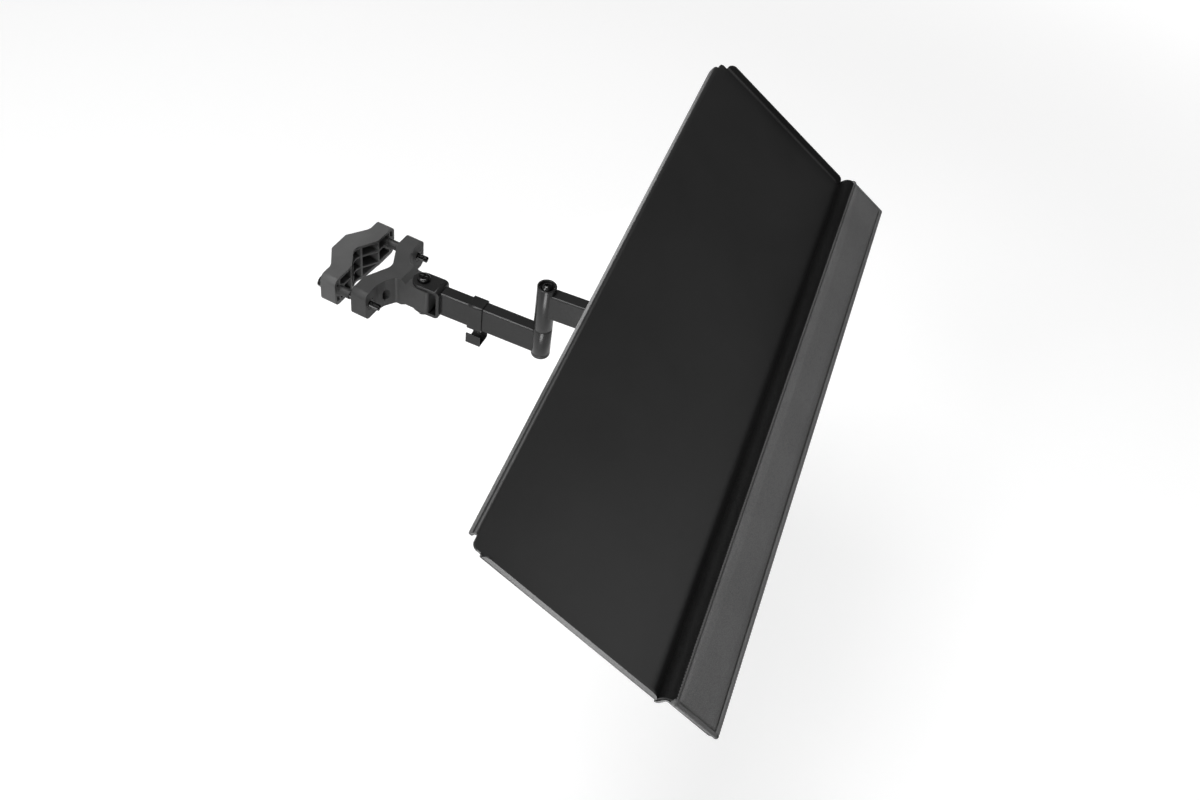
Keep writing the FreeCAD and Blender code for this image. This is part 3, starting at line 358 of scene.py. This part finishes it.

# %% [markdown]
# ## Moulded nylon
# The jaws are glass-filled nylon from a spark-eroded mould: lighter and rougher than the paint, with soft
# flow patches and a dry grain. The rear jaw has a lighter copy of the same nylon, painted light for the
# brighter light on its top. Its two bosses, in which the bolts run, are darkened as painted shade between
# the jaws. The small caps, rings and bushes are black or white nylon with a finer grain.

# %% Nylon of the jaws
BOSS_REACH = 12.0 * MM
BOSS_SHADE_EDGE = 1.0 * MM
BOSS_SHADE_LEVEL = 0.3
jaw_nylon = new_finish(
    "jaw_nylon", (grey(50), grey(60)), (0.5, 0.65), grain_scale=1500, grain_depth=0.00007, patch_scale=30.0)
# The rear jaw's lighter copy of the jaw nylon is painted light, for the light on its top.
lit_rear_jaw_nylon = new_finish(
    "lit_rear_jaw_nylon", (grey(72), grey(84)), (0.45, 0.6), grain_scale=1500, grain_depth=0.00007,
    patch_scale=30.0)
# Painted shade: within the bosses' reach along Y, the rear jaw's colour is scaled down to 0.3 of itself.
tree = lit_rear_jaw_nylon.node_tree
shader = tree.nodes["Principled BSDF"]
boss_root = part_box("rear_jaw")[0][1] + BOSS_REACH
boss_shade = fade_along(tree, (0, 1, 0), boss_root - BOSS_SHADE_EDGE, boss_root, BOSS_SHADE_LEVEL)
darken = add_node(tree, "ShaderNodeVectorMath", operation="SCALE")
tree.links.new(shader.inputs["Base Color"].links[0].from_socket, darken.inputs[0])
tree.links.new(boss_shade, darken.inputs["Scale"])
tree.links.new(darken.outputs["Vector"], shader.inputs["Base Color"])

# %% Nylon of the small parts
black_nylon = new_finish(
    "black_nylon", (grey(38), grey(46)), (0.42, 0.55), grain_scale=1800, grain_depth=0.00003,
    patch_scale=40.0)
white_nylon = new_finish(
    "natural_nylon", (grey(214, 0.02), grey(226, 0.03)), (0.35, 0.5), grain_scale=900, grain_depth=0.00002)

# %% [markdown]
# ## Screws
# Bolts and screws are plated with black zinc: a dark metal whose highlights stay sharp. Plating leaves fine
# marks, and their mask moves both the roughness and the bump. The clamp nuts have a darker copy of the
# zinc, painted shade for the pockets they sit in, and the studs under the tray and the post in the elbow are
# bare bright steel.

# %% Plated and bare steel
MARK_DEPTH = 0.00001


def new_metal(name, colours, roughness, mark_scale):
    material = new_finish(name, colours, roughness, grain_scale=2500, grain_depth=0.00001, Metallic=1.0)
    tree = material.node_tree
    marks = place_group(tree, marks_group, {"Mark Scale": mark_scale})
    shader = tree.nodes["Principled BSDF"]
    tree.links.new(ranged(tree, marks.outputs["Marks"], *roughness), shader.inputs["Roughness"])
    set_bump(tree, marks.outputs["Marks"], MARK_DEPTH)
    return material


black_zinc = new_metal("black_zinc", (grey(58), grey(78)), (0.14, 0.24), mark_scale=700.0)
# The clamp nuts' darker copy of the black zinc is painted shade.
nut_shade_zinc = new_metal("nut_shade_zinc", (grey(24), grey(38)), (0.16, 0.26), mark_scale=700.0)
bright_steel = new_metal("bright_steel", (grey(184), grey(200)), (0.2, 0.32), mark_scale=900.0)

# %% [markdown]
# ## Wrist rest cover and its board
# Leatherette has small pebbles with creases between them. The pebbles are cells of a Voronoi texture whose
# points are pushed about by a noise, so that they don't look like a honeycomb. The creases are a little
# darker than the tops. The cover and the roll each have their own tone and gloss. The fold is the same
# leatherette in a near-black copy: painted shade for the dark strip over the front wall.

# %% Leatherette and board
CREASE_SHADE = 0.62


def new_leatherette(name, colours, roughness, pebble_scale, pebble_depth, **shader_values):
    material = new_finish(name, colours, roughness, grain_scale=900, grain_depth=0.00001, patch_scale=11.0,
                          **shader_values)
    tree = material.node_tree
    shader = tree.nodes["Principled BSDF"]
    pebbles = place_group(tree, pebble_group, {"Pebble Scale": pebble_scale})
    patches = shader.inputs["Base Color"].links[0].from_socket
    darken = add_node(tree, "ShaderNodeMix", data_type="RGBA", blend_type="MULTIPLY")
    darken.inputs["B"].default_value = (CREASE_SHADE, CREASE_SHADE, CREASE_SHADE, 1.0)
    tree.links.new(patches, darken.inputs["A"])
    tree.links.new(pebbles.outputs["Creases"], darken.inputs["Factor"])
    tree.links.new(darken.outputs["Result"], shader.inputs["Base Color"])
    set_bump(tree, pebbles.outputs["Height"], pebble_depth)
    return material


cover = new_leatherette(
    "pad_leatherette", (grey(94), grey(106)), (0.5, 0.62), pebble_scale=900.0, pebble_depth=0.00012)
roll_cover = new_leatherette(
    "roll_leatherette", (grey(94), grey(108)), (0.34, 0.44), pebble_scale=1200.0, pebble_depth=0.0001)
# The fold's near-black copy of the leatherette is painted shade.
shaded_fold_cover = new_leatherette(
    "shaded_fold_leatherette", (grey(12), grey(20)), (0.4, 0.5), pebble_scale=1200.0, pebble_depth=0.00012, IOR=1.25)
board = new_finish(
    "pressed_board", (grey(150, 0.25), grey(176, 0.2)), (0.7, 0.85), grain_scale=700, grain_depth=0.0001,
    patch_scale=60.0)

# %% [markdown]
# ## Carried-over CAD parts
# The hard parts keep their CAD shapes. A knife-sharp edge never looks real, because real edges are broken by
# a deburring brush or a mould's radius and catch a thin line of light. So the parts whose edges show get
# three modifiers: a Weld joins the CAD's loose triangles, a planar Decimate clears the flat faces, and a
# small Bevel breaks the sharp edges.

# %% Broken edges and finishes for each node
FINISH_OF_SLOT = {
    "powder_coat": powder_coat, "black_nylon": black_nylon, "black_zinc": black_zinc,
    "bright_steel": bright_steel, "white_nylon": white_nylon, "pad_cover": cover, "board": board,
}
FINISH_OF_NODE = {"front_jaw": jaw_nylon, "rear_jaw": lit_rear_jaw_nylon, "clamp_nuts": nut_shade_zinc}
ARM_NODES = (
    "arm_fork", "lower_tube", "cable_clip", "lower_barrel", "upper_tube", "upper_barrel", "head_barrel",
    "head_fork", "tilt_barrel", "tray_bracket",
)
FINISH_OF_NODE.update(dict.fromkeys(ARM_NODES, arm_coat))
BROKEN_EDGE_MM = {
    "front_jaw": 0.6, "rear_jaw": 0.6, "arm_fork": 0.5, "tray_pan": 0.35, "cable_clip": 0.25,
    "lower_barrel": 0.3, "upper_barrel": 0.5, "elbow_washer": 0.2, "tray_bracket": 0.3, "head_fork": 0.3,
    "clamp_nuts": 0.45, "base_screw": 0.2, "elbow_screw": 0.2,
}
MERGE_DISTANCE = 0.002 * MM
FLAT_ANGLE = math.radians(1)
SHARP_ANGLE = math.radians(40)


def break_edges(piece, width):
    weld = piece.modifiers.new("join triangles", "WELD")
    weld.merge_threshold = MERGE_DISTANCE
    flat = piece.modifiers.new("clear flat faces", "DECIMATE")
    flat.decimate_type = "DISSOLVE"
    flat.angle_limit = FLAT_ANGLE
    edge = piece.modifiers.new("broken edges", "BEVEL")
    edge.width = width
    edge.segments = 2
    edge.limit_method = "ANGLE"
    edge.angle_limit = SHARP_ANGLE
    edge.use_clamp_overlap = True
    edge.harden_normals = True


def give_finish(piece, finish):
    piece.data.materials.clear()
    piece.data.materials.append(finish)


for subpart in record["subparts"]:
    name = subpart["node"]
    give_finish(nodes[name], FINISH_OF_NODE.get(name, FINISH_OF_SLOT[subpart["material_slot"]]))
    if name in BROKEN_EDGE_MM:
        break_edges(nodes[name], BROKEN_EDGE_MM[name] * MM)
print("finishes given to", len(record["subparts"]), "nodes")

# %% [markdown]
# ## Clamp bolts
# Each clamp bolt is an M6 bolt whose thread shows between the jaws and at its tip. The head is taken from a
# copy of the CAD bolt, cut off under its flange. The thread is one turn's profile, a short zigzag of edges,
# that a Screw modifier winds along the bolt.

# %% Bolt sizes
BOLT_RADIUS = 3.0 * MM
THREAD_ROOT = 2.45 * MM
THREAD_PITCH = 1.0 * MM
THREAD_STEPS = 20
ROOT_SHARE = 0.1
FLANK_SHARE = 0.38
CREST_SHARE = 0.14
HEAD_HEIGHT = 6.0 * MM
HEAD_EDGE = 0.15 * MM

# %% A threaded rod
def cut_across(place_y, **cleared_side):
    """In edit mode, cuts the whole mesh across at a place along Y, and closes the cut."""
    bpy.ops.mesh.select_all(action="SELECT")
    bpy.ops.mesh.bisect(plane_co=(0, place_y, 0), plane_no=(0, 1, 0), use_fill=True, **cleared_side)


def wound_thread(name, axis_x, start_y, end_y):
    """A threaded rod along Y: a one-pitch profile, wound by a Screw modifier, with closed ends."""
    start_clean()
    bpy.ops.mesh.primitive_plane_add(size=MM, location=(0, 0, 0))
    rod = new_piece(name)
    bpy.ops.object.mode_set(mode="EDIT")
    bpy.ops.mesh.select_all(action="SELECT")
    bpy.ops.mesh.merge(type="CENTER")
    bpy.ops.transform.translate(value=(THREAD_ROOT, 0, 0))
    depth = BOLT_RADIUS - THREAD_ROOT
    for out, share in ((0.0, ROOT_SHARE), (depth, FLANK_SHARE), (0.0, CREST_SHARE), (-depth, FLANK_SHARE)):
        bpy.ops.mesh.extrude_region_move(
            TRANSFORM_OT_translate={"value": (out, share * THREAD_PITCH, 0)})
    bpy.ops.object.mode_set(mode="OBJECT")
    wind = rod.modifiers.new("wind the thread", "SCREW")
    wind.axis = "Y"
    wind.screw_offset = THREAD_PITCH
    wind.iterations = round((end_y - start_y) / THREAD_PITCH)
    wind.steps = THREAD_STEPS
    wind.render_steps = THREAD_STEPS
    wind.use_merge_vertices = True
    wind.merge_threshold = MERGE_DISTANCE
    apply_all(rod)
    rod.location = (axis_x, start_y, 0)
    apply_place(rod)
    bpy.ops.object.mode_set(mode="EDIT")
    bpy.ops.mesh.select_all(action="SELECT")
    bpy.ops.mesh.remove_doubles(threshold=MERGE_DISTANCE)
    cut_across(start_y + THREAD_PITCH, clear_inner=True)
    cut_across(end_y, clear_outer=True)
    bpy.ops.mesh.select_all(action="SELECT")
    bpy.ops.mesh.normals_make_consistent(inside=False)
    bpy.ops.object.mode_set(mode="OBJECT")
    return rod

# %% A bolt's head
def bolt_head(name, node, seat_y):
    """The head of a CAD bolt: a merged copy, cut off at its seat."""
    head = bpy.data.objects.new(name, nodes[node].data.copy())
    bpy.context.collection.objects.link(head)
    make_active(head)
    bpy.ops.object.mode_set(mode="EDIT")
    bpy.ops.mesh.select_all(action="SELECT")
    bpy.ops.mesh.remove_doubles(threshold=MERGE_DISTANCE)
    cut_across(seat_y, clear_inner=True)
    bpy.ops.object.mode_set(mode="OBJECT")
    give_finish(head, black_zinc)
    break_edges(head, HEAD_EDGE)
    apply_all(head)
    return head

# %% Both bolts
for node, body in (("clamp_bolt_left", "left_bolt"), ("clamp_bolt_right", "right_bolt")):
    low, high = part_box(node)
    axis_x = (low[0] + high[0]) / 2
    seat_y = high[1] - HEAD_HEIGHT
    rod = wound_thread(node + "_thread", axis_x, low[1], seat_y + THREAD_PITCH)
    head = bolt_head(node + "_head", node, seat_y)
    make_active(rod)
    give_finish(rod, black_zinc)
    head.select_set(True)
    bpy.ops.object.join()
    rod.name = node + "_threaded"
    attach(rod, body)
    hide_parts(node)
    print(rod.name, "triangles:", sum(len(face.vertices) - 2 for face in rod.data.polygons))

# %% [markdown]
# ## Padded wrist rest
# The real rest is foam on a stiff board, in a leatherette cover that is sewn to a fat rolled edge. This step
# makes the cover between the seams and its closed underside. The roll, the fold at the back and the knobs at
# the corners follow. The cover starts as a fine grid, lifted inside the seam. A cloth simulation with a
# little pressure fills it, while the sewn edge is pinned, and that gives the quick rise at the seam and the
# nearly flat top of real foam.

# %% Sizes of the wrist rest
ROLL_RADIUS = 2.2 * MM
ROLL_CORNER = 2.6 * MM
SEAM_INSET = 3.4 * MM
SEAM_RISE = 0.9 * MM
SEAM_REACH = 0.2 * MM
END_OVERHANG = 1.6 * MM
COVER_LIFT = 3.0 * MM
CROWN_LIFT = 0.4 * MM
COVER_CAP = 1.0 * MM
GRID_STEP = 2.0 * MM
FIRST_ROW = 1.2 * GRID_STEP
pad_length = pad_high.x - pad_low.x
pad_depth = pad_high.y - pad_low.y
pad_middle = (pad_low + pad_high) / 2
seam_z = pad_low.z + SEAM_RISE
cover_length = pad_length - 2 * (SEAM_INSET - END_OVERHANG)
cover_depth = pad_depth - 2 * SEAM_INSET


def near_seam(point, reach=SEAM_REACH):
    return (abs(point.x - pad_middle.x) > cover_length / 2 - reach
            or abs(point.y - pad_middle.y) > cover_depth / 2 - reach)

# %% The cover's grid
start_clean()
bpy.ops.mesh.primitive_grid_add(
    x_subdivisions=round(cover_length / GRID_STEP), y_subdivisions=round(cover_depth / GRID_STEP),
    size=1.0, location=(pad_middle.x, pad_middle.y, seam_z))
pad = new_piece("wrist_pad_cover")
pad.scale = (cover_length, cover_depth, 1.0)
apply_place(pad)
bpy.ops.object.mode_set(mode="EDIT")
pick_points(pad, lambda place: not near_seam(place))
bpy.ops.transform.translate(value=(0, 0, COVER_LIFT))
pick_points(pad, lambda place: not near_seam(place, FIRST_ROW))
bpy.ops.transform.translate(value=(0, 0, CROWN_LIFT))
bpy.ops.object.mode_set(mode="OBJECT")
sewn = pad.vertex_groups.new(name="sewn edge")
sewn.add([v.index for v in pad.data.vertices if near_seam(v.co)], 1.0, "REPLACE")
print("cover grid:", len(pad.data.vertices), "points")

# %% Filling the cover
COVER_PRESSURE = 2.0
FILL_FRAMES = 20


def fill_with_pressure(piece, pressure, frames, cap):
    """Runs the cloth simulation, applies it, and lets no point move further than the cap."""
    rest = [vertex.co.copy() for vertex in piece.data.vertices]
    make_active(piece)
    cloth = piece.modifiers.new("fill", "CLOTH")
    cloth.settings.quality = 6
    cloth.settings.mass = 0.2
    cloth.settings.tension_stiffness = 25
    cloth.settings.bending_stiffness = 2.0
    cloth.settings.use_pressure = True
    cloth.settings.uniform_pressure_force = pressure
    cloth.settings.vertex_group_mass = "sewn edge"
    cloth.settings.effector_weights.gravity = 0
    cloth.point_cache.frame_start = 1
    cloth.point_cache.frame_end = frames
    scene = bpy.context.scene
    for number in range(1, frames + 1):
        scene.frame_set(number)
    bpy.ops.object.modifier_apply(modifier=cloth.name)
    scene.frame_set(1)
    moved = 0.0
    for vertex, start in zip(piece.data.vertices, rest):
        step = vertex.co - start
        if step.length > cap:
            vertex.co = start + step.normalized() * cap
        moved = max(moved, min(step.length, cap))
    print("cloth moved up to", round(moved / MM, 2), "mm")


fill_with_pressure(pad, COVER_PRESSURE, FILL_FRAMES, COVER_CAP)

# %% The closed underside
SMOOTH_ANGLE = math.radians(50)
make_active(pad)
bpy.ops.object.mode_set(mode="EDIT")
bpy.ops.mesh.select_all(action="SELECT")
bpy.ops.mesh.region_to_loop()
bpy.ops.mesh.extrude_region_move(TRANSFORM_OT_translate={"value": (0, 0, -(seam_z - pad_low.z))})
bpy.ops.mesh.edge_face_add()
bpy.ops.mesh.select_all(action="SELECT")
bpy.ops.mesh.normals_make_consistent(inside=False)
bpy.ops.object.mode_set(mode="OBJECT")
bpy.ops.object.shade_smooth_by_angle(angle=SMOOTH_ANGLE)
give_finish(pad, cover)
lay_on_tray(pad)
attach(pad, "tray")
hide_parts("wrist_pad")

# %% [markdown]
# ## The rolled edge
# The roll is a cord in a strip of the same leatherette. A rectangle with rounded corners becomes a curve with
# a round section. Where the sewing pulls, the strip gathers, so the section's radius swells and shrinks a
# little from stitch to stitch.

# %% The rolled edge's path
STITCH_PITCH = 2.8 * MM
GATHER = 0.12
CORNER_POINTS = 9
CORNER_SIDES = ((1, 1), (-1, 1), (-1, -1), (1, -1))


def rounded_path(half_x, half_y, radius, step):
    """Points round a rectangle with rounded corners, about a step apart, as (x, y) pairs."""
    corners = []
    for turn, (side_x, side_y) in enumerate(CORNER_SIDES):
        centre = Vector((side_x * (half_x - radius), side_y * (half_y - radius)))
        for k in range(CORNER_POINTS):
            angle = math.pi / 2 * (turn + k / (CORNER_POINTS - 1))
            corners.append(centre + radius * Vector((math.cos(angle), math.sin(angle))))
    path = []
    for index, start in enumerate(corners):
        end = corners[(index + 1) % len(corners)]
        pieces = max(1, round((end - start).length / step))
        path.extend(start.lerp(end, k / pieces) for k in range(pieces))
    return path

# %% Curves made into pieces
def add_closed_spline(curve, places):
    """Adds a closed run of straight stretches through the places to a curve."""
    spline = curve.splines.new("POLY")
    spline.points.add(len(places) - 1)
    spline.use_cyclic_u = True
    for point, place in zip(spline.points, places):
        point.co = (*place, 1.0)
    return spline


def curve_to_piece(name, curve):
    """A new mesh piece from a curve."""
    piece = bpy.data.objects.new(name, curve)
    bpy.context.collection.objects.link(piece)
    make_active(piece)
    bpy.ops.object.convert(target="MESH")
    piece = bpy.context.object
    piece.name = name
    return piece


def close_mesh(piece):
    """Merges points that lie on each other and turns all faces outwards."""
    make_active(piece)
    bpy.ops.object.mode_set(mode="EDIT")
    bpy.ops.mesh.select_all(action="SELECT")
    bpy.ops.mesh.remove_doubles(threshold=MERGE_DISTANCE)
    bpy.ops.mesh.normals_make_consistent(inside=False)
    bpy.ops.object.mode_set(mode="OBJECT")

# %% The rolled edge
def gathered_roll(name, path, z, radius, gather):
    """A closed round tube through the points, with every second point drawn in by the gather."""
    curve = bpy.data.curves.new(name, "CURVE")
    curve.dimensions = "3D"
    curve.bevel_depth = radius
    curve.bevel_resolution = 3
    spline = add_closed_spline(curve, [(pad_middle.x + p.x, pad_middle.y + p.y, z) for p in path])
    for index, point in enumerate(spline.points):
        point.radius = 1.0 - gather * (index % 2)
    tube = curve_to_piece(name, curve)
    close_mesh(tube)
    bpy.ops.object.shade_smooth()
    return tube


roll_path = rounded_path(pad_length / 2 + END_OVERHANG - ROLL_RADIUS, pad_depth / 2 - ROLL_RADIUS,
                         ROLL_CORNER - ROLL_RADIUS, STITCH_PITCH / 2)
roll = gathered_roll("wrist_pad_rolled_edge", roll_path, pad_low.z + ROLL_RADIUS, ROLL_RADIUS, GATHER)
give_finish(roll, roll_cover)
lay_on_tray(roll)
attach(roll, "tray")
print("rolled edge points:", len(roll_path))

# %% [markdown]
# ## The fold over the front wall
# At the back the cover goes on past the roll, over the bend of the steel wall. That fold is soft: it starts
# thin on the wall's face, swells over the bend and ends at the top of the roll. Its section is drawn once, as
# a closed outline, and pulled out to the length of the rest. The outline's places are measured from the lower
# back edge of the rest: first outwards over the wall, then up. Where the rolls meet at the two back corners,
# the gathered leather makes a small knob.

# %% The fold's outline
STEEL_BEND_RADIUS = 3.5 * MM
STEEL_BEND_OUT = 0.44 * MM
STEEL_BEND_MIDDLE = Vector((STEEL_BEND_OUT, -STEEL_BEND_RADIUS))
BEND_START = 90
BEND_TURN = 84
BEND_POINTS = 7
FOLD_CLEARANCE = 0.15 * MM
FOLD_END_GAP = 0.4 * MM
FOLD_END = -1.8
FOLD_OUTSIDE = [
    (4.75, -8.8), (5.9, -8.7), (6.7, -8.1), (7.0, -7.0), (6.95, -5.4), (6.6, -3.5), (5.9, -1.5),
    (5.0, 0.2), (3.9, 1.5), (2.6, 2.6), (1.2, 3.35), (-0.3, 3.85), (FOLD_END, 4.15),
]
outline = [Vector(corner) * MM for corner in FOLD_OUTSIDE]
outline.append(Vector((FOLD_END * MM, FOLD_CLEARANCE)))
for k in range(BEND_POINTS):
    angle = math.radians(BEND_START - BEND_TURN * k / (BEND_POINTS - 1))
    reach = STEEL_BEND_RADIUS + FOLD_CLEARANCE
    outline.append(STEEL_BEND_MIDDLE + reach * Vector((math.cos(angle), math.sin(angle))))

# %% The fold
def pulled_outline(name, points, length):
    """A solid bar with a closed outline as its section, pulled out along the tray's X direction."""
    curve = bpy.data.curves.new(name, "CURVE")
    curve.dimensions = "2D"
    curve.fill_mode = "BOTH"
    curve.extrude = length / 2
    add_closed_spline(curve, [(point.x, point.y, 0.0) for point in points])
    bar = curve_to_piece(name, curve)
    bar.rotation_euler = (math.pi / 2, 0, math.pi / 2)
    bar.location = (pad_middle.x, pad_high.y, pad_low.z)
    apply_place(bar)
    close_mesh(bar)
    bpy.ops.object.shade_smooth_by_angle(angle=SMOOTH_ANGLE)
    return bar


fold = pulled_outline("wrist_pad_back_fold", outline, pad_length - 2 * FOLD_END_GAP)
# The fold gets the near-black leatherette: painted shade over the wall.
give_finish(fold, shaded_fold_cover)
lay_on_tray(fold)
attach(fold, "tray")

# %% The knobs at the back corners
KNOB_RADIUS = 3.0 * MM
start_clean()
knobs = []
for side in (-1, 1):
    place = (pad_middle.x + side * (pad_length / 2 + END_OVERHANG - ROLL_RADIUS), pad_high.y - ROLL_RADIUS,
             pad_low.z + ROLL_RADIUS)
    bpy.ops.mesh.primitive_uv_sphere_add(segments=20, ring_count=12, radius=KNOB_RADIUS, location=place)
    knobs.append(new_piece("wrist_pad_corner_knob"))
for knob in knobs:
    knob.select_set(True)
bpy.ops.object.join()
corner_knobs = bpy.context.object
corner_knobs.name = "wrist_pad_corner_knobs"
apply_place(corner_knobs)
bpy.ops.object.shade_smooth()
give_finish(corner_knobs, roll_cover)
lay_on_tray(corner_knobs)
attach(corner_knobs, "tray")

# %% [markdown]
# ## Floor, light and camera
# The part hangs over the floor of a plain white studio. The floor is pale paint that also glows a little to
# the camera, the more the further out, and to reflections. So it comes out white with a faint shadow, and no
# extra light falls on the part. The world is bright at the lower left and dims towards the upper right: dark
# paint mostly shows what it mirrors, and this keeps the plate dark. A tall soft lamp stands at the left and
# draws the bright lines along the edges of the tubes. A broad one hangs overhead. A weak one at the front
# right shows as a soft sheen on the near end of the plate, and two low strips light the folded left end and
# the folded back edge.

# %% Floor
FLOOR_Z = -0.42
FLOOR_SIZE = 14.0
NEAR_GLOW = 0.5
FAR_GLOW = 1.0
NEAR_FLOOR = 1.2
FAR_FLOOR = 3.0
MIRRORED_GLOW = 0.25
start_clean()
bpy.ops.mesh.primitive_plane_add(size=FLOOR_SIZE, location=(0, 0, FLOOR_Z))
floor = new_piece("studio_floor")
floor_paint = new_finish(
    "pale_floor", (grey(206), grey(210)), (0.75, 0.85), grain_scale=60, grain_depth=0.0001, patch_scale=0.6,
    Emission_Color=(1.0, 1.0, 1.0, 1.0))
tree = floor_paint.node_tree
distance = add_node(tree, "ShaderNodeVectorMath", operation="LENGTH")
tree.links.new(object_point(tree), distance.inputs[0])
spread = map_value(tree, distance.outputs["Value"], NEAR_FLOOR, FAR_FLOOR, NEAR_GLOW, FAR_GLOW)
rays = add_node(tree, "ShaderNodeLightPath")
seen = maths(tree, "MULTIPLY", rays.outputs["Is Camera Ray"], spread)
mirrored = maths(tree, "MAXIMUM", rays.outputs["Is Glossy Ray"], rays.outputs["Is Transmission Ray"])
glow = maths(tree, "MAXIMUM", seen, maths(tree, "MULTIPLY", mirrored, MIRRORED_GLOW))
tree.links.new(glow, tree.nodes["Principled BSDF"].inputs["Emission Strength"])
give_finish(floor, floor_paint)

# %% World
BRIGHT_SIDE = Vector((-0.8, 0.3, -0.5)).normalized()
BRIGHT_LIGHT = 0.45
DARK_LIGHT = 0.1
DARK_END = -0.9
BRIGHT_END = 0.5
world = bpy.data.worlds.new("soft daylight")
bpy.context.scene.world = world
world.use_nodes = True
tree = world.node_tree
direction = add_node(tree, "ShaderNodeTexCoord").outputs["Generated"]
towards_bright = measure_along(tree, direction, BRIGHT_SIDE)
light = map_value(tree, towards_bright, DARK_END, BRIGHT_END, DARK_LIGHT, BRIGHT_LIGHT)
seen = add_node(tree, "ShaderNodeLightPath").outputs["Is Camera Ray"]
sky = tree.nodes["Background"]
sky.inputs["Color"].default_value = (1.0, 1.0, 1.0, 1.0)
tree.links.new(maths(tree, "MAXIMUM", light, seen), sky.inputs["Strength"])

# %% Lamps
def soft_lamp(name, place, target, width, height, power):
    """An area lamp that faces a point."""
    data = bpy.data.lights.new(name, "AREA")
    data.shape = "RECTANGLE"
    data.size = width
    data.size_y = height
    data.energy = power
    lamp = bpy.data.objects.new(name, data)
    bpy.context.collection.objects.link(lamp)
    lamp.location = place
    lamp.rotation_euler = (Vector(target) - Vector(place)).to_track_quat("-Z", "Y").to_euler()
    lamp.visible_camera = False


soft_lamp("left_lamp", place=(-1.7, 0.55, 1.5), target=(0, -0.15, 0), width=0.4, height=1.1, power=17.0)
soft_lamp("overhead_lamp", place=(0.0, 0.3, 2.4), target=(0, -0.2, 0), width=1.4, height=1.4, power=40.0)
soft_lamp(
    "front_right_lamp", place=(0.5, -1.6, 0.6), target=(-0.3, -0.35, 0.05), width=1.0, height=0.6, power=3.0)
soft_lamp(
    "low_left_lamp", place=(-0.62, -0.35, -0.38), target=(-0.33, -0.33, 0.1), width=0.3, height=0.6,
    power=4.2)
soft_lamp(
    "low_back_lamp", place=(0.46, 0.35, -0.2), target=(0.0, -0.24, 0.13), width=0.8, height=0.25, power=1.6)

# %% Camera
CAMERA_PLACE = Vector((-0.7729, -0.5451, 0.8596))
CAMERA_RIGHT = Vector((0.4644, -0.8791, 0.1077))
CAMERA_DOWN = Vector((-0.6177, -0.4086, -0.6719))
LENS = 40.0
SENSOR_WIDTH = 36.0
camera_data = bpy.data.cameras.new("photo_camera")
camera_data.lens = LENS
camera_data.sensor_width = SENSOR_WIDTH
camera = bpy.data.objects.new("photo_camera", camera_data)
bpy.context.collection.objects.link(camera)
right = CAMERA_RIGHT.normalized()
down = (CAMERA_DOWN - right * CAMERA_DOWN.dot(right)).normalized()
turn = Matrix((right, -down, -right.cross(down))).transposed().to_4x4()
camera.matrix_world = Matrix.Translation(CAMERA_PLACE) @ turn
bpy.context.scene.camera = camera
bpy.context.scene.view_settings.view_transform = "Standard"
